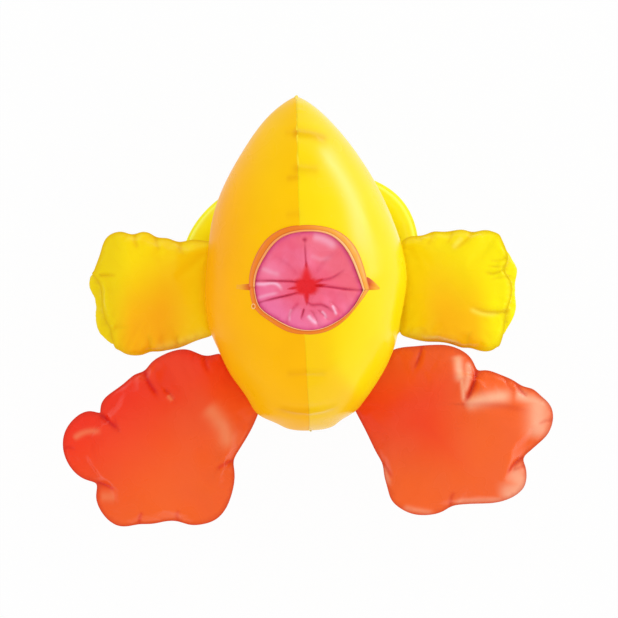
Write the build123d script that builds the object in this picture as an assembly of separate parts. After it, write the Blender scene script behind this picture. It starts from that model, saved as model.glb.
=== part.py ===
from build123d import *
from math import copysign, cos, degrees, pi, sin, sqrt
import os

# Floating chlorine dispenser: an inflated vinyl duck lying on its back on an oval
# cushion, with a slotted tablet canister plugged in underneath.
# Millimetres, +Z up. The origin is the middle of the canister's flat base, on the
# canister's axis. +Y points to the tip of the duck's tail and -Y to its feet.

# Tablets
TABLET_RADIUS = 38.0
TABLET_HEIGHT = 25.0
TABLET_COUNT = 3
TABLET_GAP = 0.1

# Canister, flow ring and base cap
TABLET_PLAY = 3.0
CANISTER_WALL = 3.0
CANISTER_RADIUS = TABLET_RADIUS + TABLET_PLAY + CANISTER_WALL
CANISTER_HEADROOM = 24.7
CANISTER_NECK = 13.0
SHOULDER_WIDTH = 10.0
SHOULDER_THICKNESS = 4.0
CAP_FLOOR = 6.0
CAP_HEIGHT = 12.0
CAP_LIP = 5.0
CAP_RIB = 3.0
CAP_RIB_COUNT = 3
CAP_DRAIN_RADIUS = 5.0
CAP_DRAIN_CIRCLE = 22.0
CATCH_COUNT = 4
CATCH_WIDTH = 7.0
CATCH_Z = 9.4
SLOT_COUNT = 12
SLOT_WIDTH = 5.0
SLOT_HEIGHT = 50.0
SLOT_SILL = 8.0
RUNNING_FIT = 0.08
RING_WALL = 3.4
RING_LAND = 8.0
RING_TRAVEL = 15.0
STOP_WIDTH = 5.0
STOP_DROP = 4.0
STOP_PLAY = 1.0
GRIP_COUNT = 12

TABLET_BASE_Z = CAP_FLOOR + CAP_RIB
SHOULDER_Z = TABLET_BASE_Z + TABLET_COUNT * (TABLET_HEIGHT + TABLET_GAP) + CANISTER_HEADROOM
SLOT_BOTTOM_Z = CAP_HEIGHT + SLOT_SILL
SLOT_TOP_Z = SLOT_BOTTOM_Z + SLOT_HEIGHT
RING_BOTTOM_Z = CAP_HEIGHT + RUNNING_FIT
RING_TOP_Z = SLOT_TOP_Z + RING_LAND

# Collar, welded into the cushion
COLLAR_WALL = 4.4
COLLAR_FLANGE_WIDTH = 20.0
COLLAR_FLANGE = 3.0
COLLAR_HEIGHT = 15.0
WELD_GAP = 0.5
COLLAR_RADIUS = CANISTER_RADIUS + RUNNING_FIT + COLLAR_WALL
COLLAR_TOP_Z = SHOULDER_Z + COLLAR_HEIGHT

# Oval cushion
CUSHION_HALF_WIDTH = 118.0
CUSHION_HALF_LENGTH = 96.0
CUSHION_SQUARENESS = 2.6
CUSHION_HALF_HEIGHT = 32.0
CUSHION_SHOULDER = 22.0
CUSHION_SEAM_RISE = 31.0
CUSHION_SIDES = 36
CUSHION_HOLE_RADIUS = COLLAR_RADIUS + WELD_GAP
CUSHION_VALVE_X = (CUSHION_HALF_WIDTH + CUSHION_HOLE_RADIUS) / 2
CUSHION_SEAM_Z = SHOULDER_Z + CUSHION_SEAM_RISE
SEAM_FLANGE = 0.6
SEAM_WIDTH = 3.0

# Float body: two inflated halves, welded along a ridge seam in a near-vertical plane
BODY_HALF_WIDTH = 100.5
BODY_WIDEST_Y = -20.0
BODY_TAIL_LENGTH = 183.0
BODY_HEAD_LENGTH = 144.0
BODY_CROWN_RISE = 126.0
BODY_KEEL_DROP = 112.0
BODY_SINK = 22.0
BODY_TURN = 2.6
BODY_SHIFT_X = 1.5
BODY_MID_Z = CUSHION_SEAM_Z + CUSHION_HALF_HEIGHT + BODY_KEEL_DROP - BODY_SINK
BODY_CROWN_Z = BODY_MID_Z + BODY_CROWN_RISE
BODY_SIDES = 32

# Mouth and throat
MOUTH_CENTRE = (6.4, -18.3)
MOUTH_WIDTH, MOUTH_HEIGHT = 101.0, 93.0
LIP_BAND = 8.0
LIP_THICKNESS = 4.0
VINYL = 2.0
PLEATS = 9
FUNNEL_DEPTH = 58.0
FUNNEL_SHELF = 28.0
NECK_RADIUS = 8.0
NECK_CENTRE = (5.1, -14.6)
SLEEVE_WIDENING = 30.0
SLEEVE_SHOULDER = 91.0
NECK_Z = BODY_CROWN_Z - FUNNEL_DEPTH
FUNNEL_SHELF_Z = BODY_CROWN_Z - FUNNEL_SHELF

# Wings and feet: flat pillows hung on vinyl webs
WING_DROP = 66.0
WING_HALF_THICKNESS = 18.0
FOOT_DROP = 57.0
FOOT_HALF_THICKNESS = 21.0
LIMB_SKIN = 1.5
WEB_THICKNESS = 1.2
WEB_DEPTH = 30.0
WEB_END_GAP = 5.0
HINGE_GAP = 0.4
WING_Z = BODY_MID_Z - WING_DROP
FOOT_Z = BODY_MID_Z - FOOT_DROP

# Inflation valves
VALVE_FLANGE_RADIUS = 11.0
VALVE_FLANGE = 1.4
VALVE_TUBE_RADIUS = 5.5
VALVE_BORE_RADIUS = 3.9
VALVE_DEPTH = 14.0
VALVE_STAND = 4.0
PLUG_LENGTH = 8.0
PLUG_HEAD = 2.0
PLUG_PLAY = 0.05
TAIL_VALVE_X = 28.0
TAIL_VALVE_INSET = 51.0
TAIL_VALVE_Y = BODY_WIDEST_Y + BODY_TAIL_LENGTH - TAIL_VALVE_INSET


def facet_loft(rings):
    """Solid through rings of corners, in flat triangles, which keeps an inflated form light."""
    faces = [Face(Wire.make_polygon(rings[0])), Face(Wire.make_polygon(rings[-1]))]
    for lower, upper in zip(rings, rings[1:]):
        for index in range(len(lower)):
            after = (index + 1) % len(lower)
            faces.append(Face(Wire.make_polygon((lower[index], lower[after], upper[after]))))
            faces.append(Face(Wire.make_polygon((lower[index], upper[after], upper[index]))))
    return Solid(Shell(faces)).fix()


def body_width(y, grow=0.0):
    """Half-width of the float body at y, in its own frame."""
    if y >= BODY_WIDEST_Y:
        reach = (y - BODY_WIDEST_Y) / (BODY_TAIL_LENGTH + grow)
        return (BODY_HALF_WIDTH + grow) * max(0.0, 1 - reach ** 1.65) ** 0.75
    reach = (BODY_WIDEST_Y - y) / (BODY_HEAD_LENGTH + grow)
    return (BODY_HALF_WIDTH + grow) * max(0.0, 1 - reach ** 1.69) ** 0.4


def body_ends(x, grow=0.0):
    """The two values of y at which the body is x wide."""
    share = x / (BODY_HALF_WIDTH + grow)
    tail = (1 - share ** (1 / 0.75)) ** (1 / 1.65) * (BODY_TAIL_LENGTH + grow)
    head = (1 - share ** (1 / 0.4)) ** (1 / 1.69) * (BODY_HEAD_LENGTH + grow)
    return BODY_WIDEST_Y - head, BODY_WIDEST_Y + tail


def body_offset(x, y, rise, grow=0.0):
    """Height of the skin above or below mid-height at (x, y)."""
    width = body_width(y, grow)
    if width <= x:
        return 0.0
    if y >= BODY_WIDEST_Y:
        profile = (1 - ((y - BODY_WIDEST_Y) / (BODY_TAIL_LENGTH + grow)) ** 2) ** 0.6
    else:
        profile = sqrt(1 - ((BODY_WIDEST_Y - y) / (BODY_HEAD_LENGTH + grow)) ** 2)
    return (rise + grow) * profile * sqrt(1 - (x / width) ** (5 / 3))


def body_ring(x, side, grow):
    """The body's outline in the plane at x from the seam."""
    head, tail = body_ends(x, grow)
    corners = []
    for step in range(BODY_SIDES):
        turn = 2 * pi * step / BODY_SIDES
        y = (head + tail) / 2 + (tail - head) / 2 * cos(turn)
        z = BODY_MID_Z
        if 0 < step < BODY_SIDES / 2:
            z += body_offset(x, y, BODY_CROWN_RISE, grow)
        elif step > BODY_SIDES / 2:
            z -= body_offset(x, y, BODY_KEEL_DROP, grow)
        corners.append((side * x, y, z))
    return corners


def body_half(side, grow=0.0):
    """One inflated half, from the seam plane out to its crown."""
    shares = (0.0, 0.28, 0.52, 0.72, 0.86, 0.95, 0.99)
    half = facet_loft([body_ring(share * BODY_HALF_WIDTH, side, grow) for share in shares])
    return Pos(BODY_SHIFT_X, 0, 0) * Rot(0, 0, BODY_TURN) * half


def mouth_outline(width, height):
    """Eye-shaped outline, with a corner at each side."""
    left, right = (-width / 2, 0), (width / 2, 0)
    upper = ThreePointArc(left, (0, height / 2), right)
    lower = ThreePointArc(right, (0, -height / 2), left)
    return Pos(*MOUTH_CENTRE, 0) * make_face([upper, lower])


def throat_part(levels, inset=0.0):
    """Solid through pleated rings round the throat; inset moves its walls inwards."""
    rings = []
    for centre, z, width, height, pleat in levels:
        ring_corners = []
        for step in range(2 * PLEATS):
            turn = pi * step / PLEATS
            reach = 1 - pleat * (step % 2)
            ring_corners.append((centre[0] + (width / 2 - inset) * reach * cos(turn),
                                 centre[1] + (height / 2 - inset) * reach * sin(turn), z))
        rings.append(ring_corners)
    return facet_loft(rings)


def cushion_outline(inset):
    """Corners of the cushion's oval outline, moved in by an inset."""
    corners = []
    for step in range(CUSHION_SIDES):
        turn = 2 * pi * step / CUSHION_SIDES
        along_x = copysign(abs(cos(turn)) ** (2 / CUSHION_SQUARENESS), cos(turn))
        along_y = copysign(abs(sin(turn)) ** (2 / CUSHION_SQUARENESS), sin(turn))
        corners.append(((CUSHION_HALF_WIDTH - inset) * along_x, (CUSHION_HALF_LENGTH - inset) * along_y))
    return corners


def cushion_half(direction):
    """Half of the oval cushion, above (1) or below (-1) its seam, with a seat for the collar's flange."""
    half = CUSHION_HALF_HEIGHT
    levels = ((0, 0), (0, SEAM_FLANGE), (SEAM_WIDTH, SEAM_FLANGE), (7, half * 0.52), (14, half * 0.84),
              (CUSHION_SHOULDER, half))
    rings = []
    for inset, rise in levels:
        z = CUSHION_SEAM_Z + direction * rise
        rings.append([(x, y, z) for x, y in cushion_outline(inset)])
    seat_rise = CUSHION_SEAM_Z - SHOULDER_Z - COLLAR_FLANGE
    seat_radius = CANISTER_RADIUS + COLLAR_FLANGE_WIDTH + 1
    seat = Pos(0, 0, CUSHION_SEAM_Z + direction * (seat_rise + half / 2)) * Cylinder(seat_radius, half)
    return facet_loft(rings) - seat - Pos(0, 0, CUSHION_SEAM_Z) * Cylinder(CUSHION_HOLE_RADIUS, 4 * half)


def dome(corners, middle, z, direction, levels):
    """Solid through scaled copies of an outline, at heights from its seam plane."""
    rings = []
    for share, height in levels:
        rings.append([(middle.X + (x - middle.X) * share, middle.Y + (y - middle.Y) * share,
                       z + direction * height) for x, y in corners])
    return facet_loft(rings)


def pillow_panel(corners, z, direction, half_thickness):
    """One skin of a flat pillow: a weld flange round a dome, hollow for the air."""
    middle = sum((Vector(*corner) for corner in corners), Vector()) * (1 / len(corners))
    outside = ((1.0, 0.0), (1.0, SEAM_FLANGE), (0.955, SEAM_FLANGE + 0.3), (0.89, half_thickness * 0.46),
               (0.76, half_thickness * 0.8), (0.52, half_thickness * 0.97), (0.3, half_thickness))
    air = ((0.9, -1.0), (0.9, 0.2), (0.85, half_thickness * 0.46 - LIMB_SKIN),
           (0.7, half_thickness * 0.8 - LIMB_SKIN), (0.3, half_thickness * 0.97 - LIMB_SKIN))
    skin = dome(corners, middle, z, direction, outside)
    return skin - dome(corners, middle, z, direction, air)


# Outlines of the wings and feet: corners in order, from the upper end of the hinge line to
# its lower end. The first number of each corner is its distance outwards from the hinge's
# upper end, the second its distance towards the tail.
LEFT_WING = (
    (0.0, 0.0), (33.4, -0.6), (48.5, 6.0), (60.8, 8.8), (71.6, 11.7), (78.7, 7.9), (88.2, 11.3), (96.0, 11.7),
    (104.0, 9.0), (109.0, 4.0), (116.5, -18.6), (122.2, -37.0), (116.5, -63.9), (114.5, -81.0), (103.3, -97.9),
    (95.7, -106.4), (86.0, -112.2), (76.8, -113.0), (63.6, -107.3), (48.5, -107.7), (22.1, -99.8), (0.0, -93.0),
)
RIGHT_WING = (
    (0.0, 0.0), (8.0, 7.4), (26.3, 9.2), (32.5, 13.1), (52.7, 13.4), (68.3, 13.9), (74.0, 10.8), (80.7, 13.9),
    (90.0, 14.4), (98.0, 9.6), (105.6, -4.0), (114.9, -24.2), (115.4, -46.0), (114.9, -66.2), (105.6, -84.9),
    (98.0, -102.6), (90.0, -107.9), (79.0, -107.6), (70.5, -103.0), (62.0, -103.6), (50.0, -99.0), (29.4, -96.5),
    (0.0, -91.0),
)
LEFT_FOOT = (
    (0.0, 0.0), (15.3, -3.9), (30.5, 2.7), (44.5, 2.2), (60.0, -4.0), (75.3, -19.5), (83.0, -20.7), (100.0, -33.5),
    (118.0, -48.7), (119.0, -62.7), (130.0, -58.4), (144.8, -65.0), (155.6, -79.0), (157.4, -93.0), (151.0, -113.0),
    (135.5, -127.3), (122.5, -130.5), (124.3, -146.7), (116.5, -163.0), (100.5, -174.2), (80.7, -171.9),
    (60.0, -170.0), (42.2, -168.8), (28.0, -172.8), (11.0, -170.4), (-4.5, -158.3), (-11.5, -142.0),
    (-14.3, -118.0), (-12.7, -108.2), (-28.0, -82.5), (-40.0, -56.0),
)
RIGHT_FOOT = (
    (0.0, 0.0), (22.8, 3.0), (46.0, 4.0), (66.0, 0.2), (80.5, -9.5), (85.8, -21.9), (98.5, -20.4), (116.2, -27.0),
    (132.5, -36.8), (140.7, -37.5), (158.2, -52.7), (162.5, -66.0), (157.0, -84.2), (146.0, -95.0), (131.3, -107.5),
    (136.0, -122.0), (133.7, -136.7), (120.0, -148.0), (104.5, -152.5), (60.2, -155.3), (48.0, -163.0),
    (34.5, -165.1), (14.5, -161.2), (-0.5, -148.3), (-7.0, -122.0), (-9.6, -110.0), (-25.5, -80.0), (-38.0, -56.0),
)

# Upper end of each hinge line: how far inside the body's half-width it is, and its y.
# The feet keep their distance from the head's end, and each wing's hinge its gap from the foot's.
HEAD_END_Y = BODY_WIDEST_Y - BODY_HEAD_LENGTH
LEFT_FOOT_INSET, RIGHT_FOOT_INSET = 76.0, 78.0
LEFT_HINGE_GAP, RIGHT_HINGE_GAP = 16.0, 15.0
LEFT_FOOT_ROOT = (17.5, HEAD_END_Y + LEFT_FOOT_INSET)
RIGHT_FOOT_ROOT = (13.5, HEAD_END_Y + RIGHT_FOOT_INSET)
LEFT_WING_ROOT = (10.5, LEFT_FOOT_ROOT[1] + LEFT_HINGE_GAP - LEFT_WING[-1][1])
RIGHT_WING_ROOT = (4.5, RIGHT_FOOT_ROOT[1] + RIGHT_HINGE_GAP - RIGHT_WING[-1][1])


def place_corners(corners, root, side):
    """A limb's outline in the object's frame; side is -1 for a left limb and 1 for a right one."""
    root_x = BODY_HALF_WIDTH - root[0]
    return [(side * (root_x + x), root[1] + y) for x, y in corners]


def hinge_frame(corners, z):
    """Plane at the middle of a limb's hinge line, X outwards from the body and Z up."""
    start, end = Vector(*corners[0], z), Vector(*corners[-1], z)
    middle = (start + end) * 0.5
    outward = (end - start).cross(Vector(0, 0, 1)).normalized()
    if outward.X * middle.X < 0:
        outward = outward * -1
    return Plane(origin=middle, x_dir=outward, z_dir=(0, 0, 1)), (end - start).length


def limb_panels(corners, z, half_thickness):
    """Front and back panels of a wing or foot, trimmed clear of its hinge line."""
    hinge, _ = hinge_frame(corners, z)
    reach = 4 * BODY_HALF_WIDTH
    keep_out = hinge * (Pos(HINGE_GAP / 2 - reach / 2, 0, 0) * Box(reach, reach, reach))
    return [pillow_panel(corners, z, direction, half_thickness) - keep_out for direction in (1, -1)]


def limb_web(corners, z, body):
    """Vinyl strip from the body's flank out to a limb's hinge line."""
    hinge, length = hinge_frame(corners, z)
    strip = Box(WEB_DEPTH, length - 2 * WEB_END_GAP, WEB_THICKNESS)
    outside = hinge * (Pos(-WEB_DEPTH / 2 - HINGE_GAP / 2, 0, 0) * strip) - body
    return min(outside.solids(), key=lambda solid: (solid.center() - hinge.origin).length)


def valve(plane):
    """Soft valve: flange on the skin, a short stem outside and a tube inside."""
    length = VALVE_DEPTH + VALVE_STAND
    middle = Pos(0, 0, (VALVE_STAND - VALVE_DEPTH) / 2)
    flange = Pos(0, 0, VALVE_FLANGE / 2) * Cylinder(VALVE_FLANGE_RADIUS, VALVE_FLANGE)
    tube = middle * Cylinder(VALVE_TUBE_RADIUS, length)
    return plane * (flange + tube - middle * Cylinder(VALVE_BORE_RADIUS, length))


def valve_pocket(plane):
    """Room for a valve in the skin it is welded to."""
    flange = Pos(0, 0, VALVE_FLANGE_RADIUS / 2) * Cylinder(VALVE_FLANGE_RADIUS + 0.2, VALVE_FLANGE_RADIUS)
    tube = Pos(0, 0, -VALVE_DEPTH / 2) * Cylinder(VALVE_TUBE_RADIUS + PLUG_PLAY, VALVE_DEPTH)
    return plane * (flange + tube)


def valve_plug(plane):
    """Plug in the valve's mouth, with its head and finger tab."""
    stem = Pos(0, 0, VALVE_STAND - PLUG_LENGTH / 2) * Cylinder(VALVE_BORE_RADIUS - PLUG_PLAY, PLUG_LENGTH)
    head_z = VALVE_STAND + PLUG_PLAY + PLUG_HEAD / 2
    head = Pos(0, 0, head_z - PLUG_PLAY) * Cylinder(VALVE_BORE_RADIUS - PLUG_PLAY, PLUG_HEAD)
    head += Pos(0, 0, head_z) * Cylinder(VALVE_TUBE_RADIUS, PLUG_HEAD)
    tab = Pos(VALVE_TUBE_RADIUS + 2, 0, head_z) * Box(8, 4, PLUG_HEAD * 0.6)
    return plane * (stem + head + tab)


def polar(count, radius, shape, start=0.0):
    """Copies of a shape round the Z axis, each moved out by radius."""
    return [Rot(0, 0, start + index * 360 / count) * Pos(radius, 0, 0) * shape for index in range(count)]


def ring(inner, outer, bottom, top):
    """Plain ring round the Z axis."""
    height = top - bottom
    return Pos(0, 0, (bottom + top) / 2) * (Cylinder(outer, height) - Cylinder(inner, height))


def make_collar():
    """Flange under the cushion, and the tube that the canister's neck slides into."""
    bore = CANISTER_RADIUS + RUNNING_FIT
    flange = ring(bore, CANISTER_RADIUS + COLLAR_FLANGE_WIDTH, SHOULDER_Z, SHOULDER_Z + COLLAR_FLANGE)
    return flange + ring(bore, COLLAR_RADIUS, SHOULDER_Z, COLLAR_TOP_Z)


def make_canister():
    """Slotted tube, with a neck and shoulder above and catch windows below."""
    tube = ring(CANISTER_RADIUS - CANISTER_WALL, CANISTER_RADIUS, CAP_FLOOR, SHOULDER_Z + CANISTER_NECK)
    shoulder_radius = CANISTER_RADIUS + SHOULDER_WIDTH
    shoulder = ring(CANISTER_RADIUS - 1, shoulder_radius, SHOULDER_Z - SHOULDER_THICKNESS, SHOULDER_Z)
    bead_bottom = RING_TOP_Z + RUNNING_FIT
    bead = ring(CANISTER_RADIUS - 1, CANISTER_RADIUS + RING_WALL, bead_bottom, bead_bottom + 3)
    stop = Box(RING_WALL + 1, STOP_WIDTH, STOP_DROP + 1)
    stop = Pos(CANISTER_RADIUS + (RING_WALL - 1) / 2, 0, bead_bottom - (STOP_DROP - 1) / 2) * stop
    slot = Pos(0, 0, (SLOT_TOP_Z + SLOT_BOTTOM_Z) / 2) * Box(12, SLOT_WIDTH, SLOT_HEIGHT)
    window = Pos(0, 0, CATCH_Z) * Box(8, CATCH_WIDTH + 2, 2.4)
    body = tube + shoulder + bead + Rot(0, 0, RING_TRAVEL) * stop
    body -= polar(SLOT_COUNT, CANISTER_RADIUS, slot)
    return body - polar(CATCH_COUNT, CANISTER_RADIUS, window, 180 / SLOT_COUNT)


def make_flow_ring():
    """Slotted sleeve that turns to cover the canister's slots, between two stops."""
    sleeve = ring(CANISTER_RADIUS + RUNNING_FIT, CANISTER_RADIUS + RING_WALL, RING_BOTTOM_Z, RING_TOP_Z)
    slot = Pos(0, 0, (SLOT_TOP_Z + SLOT_BOTTOM_Z) / 2) * Box(12, SLOT_WIDTH + 0.4, SLOT_HEIGHT + 1)
    grip = Pos(0, 0, (RING_TOP_Z + RING_BOTTOM_Z) / 2) * Box(1.6, 2.4, SLOT_HEIGHT + 6)
    half_stop = degrees(STOP_WIDTH / 2 / CANISTER_RADIUS) + STOP_PLAY
    window = Solid.make_cylinder(CANISTER_RADIUS + 2 * RING_WALL, STOP_DROP * 2, Plane.XY,
                                 RING_TRAVEL + 2 * half_stop)
    window = Pos(0, 0, RING_TOP_Z - STOP_DROP - STOP_PLAY / 2) * Rot(0, 0, -half_stop) * window
    grips = polar(GRIP_COUNT, CANISTER_RADIUS + RING_WALL + 0.5, grip, 180 / GRIP_COUNT)
    return sleeve + grips - polar(SLOT_COUNT, CANISTER_RADIUS, slot) - window


def make_base_cap():
    """Floor of the canister: a cap with tablet ribs, drain holes and four catches."""
    cap_radius = CANISTER_RADIUS + CAP_LIP
    disc = Pos(0, 0, CAP_HEIGHT / 2) * Cylinder(cap_radius, CAP_HEIGHT)
    disc = chamfer(disc.edges().filter_by(GeomType.CIRCLE).group_by(Axis.Z)[0], 1.5)
    seat = CAP_HEIGHT - CAP_FLOOR
    groove = ring(CANISTER_RADIUS - CANISTER_WALL - 0.2, CANISTER_RADIUS + RUNNING_FIT, CAP_FLOOR, CAP_HEIGHT)
    well_radius = CANISTER_RADIUS - CANISTER_WALL - 2
    well = Pos(0, 0, CAP_FLOOR + seat / 2) * Cylinder(well_radius, seat)
    rib = Pos(0, 0, CAP_FLOOR + CAP_RIB / 2) * Box(2 * well_radius, CAP_RIB, CAP_RIB)
    ribs = [Rot(0, 0, index * 180 / CAP_RIB_COUNT) * rib for index in range(CAP_RIB_COUNT)]
    drain = Cylinder(CAP_DRAIN_RADIUS, 3 * CAP_HEIGHT)
    nib = Pos(0, 0, CATCH_Z) * Box(2.2, CATCH_WIDTH, 1.6)
    nibs = polar(CATCH_COUNT, CANISTER_RADIUS - 0.4, nib, 180 / SLOT_COUNT)
    drains = polar(2 * CAP_RIB_COUNT, CAP_DRAIN_CIRCLE, drain, 90 / CAP_RIB_COUNT)
    return disc - groove - well + ribs + nibs - drains


def make_tablets():
    """A stack of tablets, each a separate solid."""
    stack = []
    for index in range(TABLET_COUNT):
        z = TABLET_BASE_Z + TABLET_HEIGHT / 2 + index * (TABLET_HEIGHT + TABLET_GAP)
        stack.append((Pos(0, 0, z) * Cylinder(TABLET_RADIUS, TABLET_HEIGHT)).solid())
    return Compound(stack)


def tail_valve_plane():
    """Plane on the underside of the right half's tail, facing out."""
    x, y, small = TAIL_VALVE_X, TAIL_VALVE_Y, 0.5

    def under(px, py):
        return BODY_MID_Z - body_offset(px, py, BODY_KEEL_DROP)

    slope_x = (under(x + small, y) - under(x - small, y)) / (2 * small)
    slope_y = (under(x, y + small) - under(x, y - small)) / (2 * small)
    plane = Plane(origin=(x, y, under(x, y)), z_dir=(slope_x, slope_y, -1))
    return Pos(BODY_SHIFT_X, 0, 0) * Rot(0, 0, BODY_TURN) * plane


def write(name, shape):
    export_step(shape, f"parts/{name}.step")


os.makedirs("parts", exist_ok=True)

left_half, right_half = body_half(-1), body_half(1)
body = left_half + right_half

neck_width = 2 * NECK_RADIUS + 4 * VINYL
funnel_levels = (
    (MOUTH_CENTRE, BODY_CROWN_Z + 12, MOUTH_WIDTH, MOUTH_HEIGHT, 0.0),
    (MOUTH_CENTRE, FUNNEL_SHELF_Z, MOUTH_WIDTH * 0.94, MOUTH_HEIGHT * 0.94, 0.03),
    (MOUTH_CENTRE, (FUNNEL_SHELF_Z + NECK_Z) / 2 + 3, MOUTH_WIDTH * 0.6, MOUTH_HEIGHT * 0.6, 0.1),
    (NECK_CENTRE, NECK_Z, neck_width, neck_width, 0.25),
)
sleeve_width = 2 * (CUSHION_HOLE_RADIUS - 1)
sleeve_levels = (
    (NECK_CENTRE, NECK_Z, neck_width, neck_width, 0.25),
    (NECK_CENTRE, NECK_Z - SLEEVE_WIDENING, sleeve_width * 0.58, sleeve_width * 0.58, 0.08),
    ((0, 0), COLLAR_TOP_Z + SLEEVE_SHOULDER, sleeve_width, sleeve_width, 0.0),
    ((0, 0), COLLAR_TOP_Z, sleeve_width, sleeve_width, 0.0),
)
funnel, sleeve = throat_part(funnel_levels), throat_part(sleeve_levels)

tail_valve = tail_valve_plane()
cushion_valve = Plane(origin=(CUSHION_VALVE_X, 0, CUSHION_SEAM_Z - CUSHION_HALF_HEIGHT),
                      x_dir=(0, -1, 0), z_dir=(0, 0, -1))

write("body_left_panel", left_half - funnel - sleeve)
write("body_right_panel", right_half - funnel - sleeve - valve_pocket(tail_valve))
write("throat_funnel", (funnel - throat_part(funnel_levels, VINYL)) & body)
write("throat_sleeve", sleeve - throat_part(sleeve_levels, VINYL))
write("cushion_top_panel", cushion_half(1) - body)
write("cushion_bottom_panel", cushion_half(-1) - body - valve_pocket(cushion_valve))

lip_band = mouth_outline(MOUTH_WIDTH + 2 * LIP_BAND, MOUTH_HEIGHT + LIP_BAND)
lip_band -= mouth_outline(MOUTH_WIDTH, MOUTH_HEIGHT)
lip_prism = Pos(0, 0, BODY_MID_Z) * extrude(lip_band, BODY_CROWN_RISE + 2 * LIP_BAND)
lip_skin = body_half(-1, LIP_THICKNESS) + body_half(1, LIP_THICKNESS) - body - funnel
for name, side in (("upper_lip", 1), ("lower_lip", -1)):
    half_space = Box(4 * MOUTH_WIDTH, 2 * MOUTH_WIDTH, 4 * BODY_CROWN_RISE)
    half_space = Pos(MOUTH_CENTRE[0], MOUTH_CENTRE[1] + side * MOUTH_WIDTH, BODY_MID_Z) * half_space
    write(name, lip_skin & lip_prism & half_space)

limbs = (
    ("left_wing", place_corners(LEFT_WING, LEFT_WING_ROOT, -1), WING_Z, WING_HALF_THICKNESS),
    ("right_wing", place_corners(RIGHT_WING, RIGHT_WING_ROOT, 1), WING_Z, WING_HALF_THICKNESS),
    ("left_foot", place_corners(LEFT_FOOT, LEFT_FOOT_ROOT, -1), FOOT_Z, FOOT_HALF_THICKNESS),
    ("right_foot", place_corners(RIGHT_FOOT, RIGHT_FOOT_ROOT, 1), FOOT_Z, FOOT_HALF_THICKNESS),
)
for name, corners, z, half_thickness in limbs:
    front, back = limb_panels(corners, z, half_thickness)
    write(name + "_front_panel", front)
    write(name + "_back_panel", back)
    write(name + "_web", limb_web(corners, z, body))

write("collar", make_collar())
write("canister", make_canister())
write("flow_ring", make_flow_ring())
write("base_cap", make_base_cap())
write("tablets", make_tablets())
write("body_valve", valve(tail_valve))
write("body_valve_plug", valve_plug(tail_valve))
write("cushion_valve", valve(cushion_valve))
write("cushion_valve_plug", valve_plug(cushion_valve))
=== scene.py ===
import math

import bmesh
import bpy
import numpy as np
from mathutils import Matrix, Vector
from mathutils.geometry import delaunay_2d_cdt


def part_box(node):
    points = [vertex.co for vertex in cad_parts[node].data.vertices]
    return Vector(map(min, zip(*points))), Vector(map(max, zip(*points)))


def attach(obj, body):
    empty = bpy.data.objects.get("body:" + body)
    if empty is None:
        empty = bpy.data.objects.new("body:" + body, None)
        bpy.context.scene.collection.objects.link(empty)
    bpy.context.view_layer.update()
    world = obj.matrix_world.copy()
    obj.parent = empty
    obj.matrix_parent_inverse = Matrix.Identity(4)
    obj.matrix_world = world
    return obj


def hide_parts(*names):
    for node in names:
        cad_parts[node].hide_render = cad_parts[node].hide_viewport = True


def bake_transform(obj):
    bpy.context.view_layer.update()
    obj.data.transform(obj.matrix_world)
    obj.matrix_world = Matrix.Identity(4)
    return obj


# Looks of the floating chlorine dispenser. Metres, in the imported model's own frame:
# +Z up through the open mouth, +Y towards the tail, the origin under the canister.

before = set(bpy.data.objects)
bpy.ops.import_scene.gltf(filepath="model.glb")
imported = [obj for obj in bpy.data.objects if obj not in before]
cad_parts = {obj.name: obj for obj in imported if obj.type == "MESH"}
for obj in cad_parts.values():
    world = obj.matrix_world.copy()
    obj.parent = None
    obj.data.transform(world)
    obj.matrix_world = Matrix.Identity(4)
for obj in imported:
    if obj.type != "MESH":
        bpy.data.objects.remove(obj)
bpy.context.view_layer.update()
MM = 0.001

# Float body, as the CAD gives it
BODY_HALF_WIDTH = 0.1005
BODY_WIDEST_Y = -0.020
BODY_TAIL_LENGTH = 0.183
BODY_HEAD_LENGTH = 0.144
BODY_CROWN_RISE = 0.126
BODY_KEEL_DROP = 0.112
BODY_TURN = math.radians(2.6)
BODY_SHIFT_X = 0.0015
CUSHION_LOW, CUSHION_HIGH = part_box("cushion_bottom_panel")
CUSHION_SEAM_Z = CUSHION_HIGH[2]
CUSHION_HALF_WIDTH, CUSHION_HALF_LENGTH = CUSHION_HIGH[0], CUSHION_HIGH[1]
CUSHION_LEFT_SQUARENESS, CUSHION_RIGHT_SQUARENESS = 1.93, 2.75
# The left side is pressed out further by the float's weight
CUSHION_LEFT_SPREAD = 1.055
CUSHION_HALF_HEIGHT = CUSHION_HIGH[2] - CUSHION_LOW[2]
BODY_MID_Z = CUSHION_SEAM_Z + 0.122
COLLAR_LOW, COLLAR_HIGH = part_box("collar")
COLLAR_RADIUS = 0.04848
FLANGE_TOP_Z = COLLAR_LOW[2] + 0.003
CUSHION_HOLE_RADIUS = COLLAR_RADIUS + 0.0005
# Middle of the gathered opening, and in the float's own frame the point its skins fan out from
STAR_CENTRE = (0.0031, -0.0236)
MOUTH_CENTRE = (0.0, -0.0184)
NECK_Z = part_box("throat_sleeve")[1][2]

HEAD_END, TAIL_END = BODY_WIDEST_Y - BODY_HEAD_LENGTH, BODY_WIDEST_Y + BODY_TAIL_LENGTH

COLLECTION = bpy.context.scene.collection


# ---------------------------------------------------------------- mesh helpers

def make_piece(name, verts, faces, material, body, smooth=True):
    """New mesh piece, which rides on a body if one is named."""
    mesh = bpy.data.meshes.new(name)
    mesh.from_pydata(np.asarray(verts, dtype=float).reshape(-1, 3).tolist(), [], faces)
    mesh.update()
    mesh.materials.append(material)
    for polygon in mesh.polygons:
        polygon.use_smooth = smooth
    piece = bpy.data.objects.new(name, mesh)
    COLLECTION.objects.link(piece)
    if body:
        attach(piece, body)
    return piece


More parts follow.
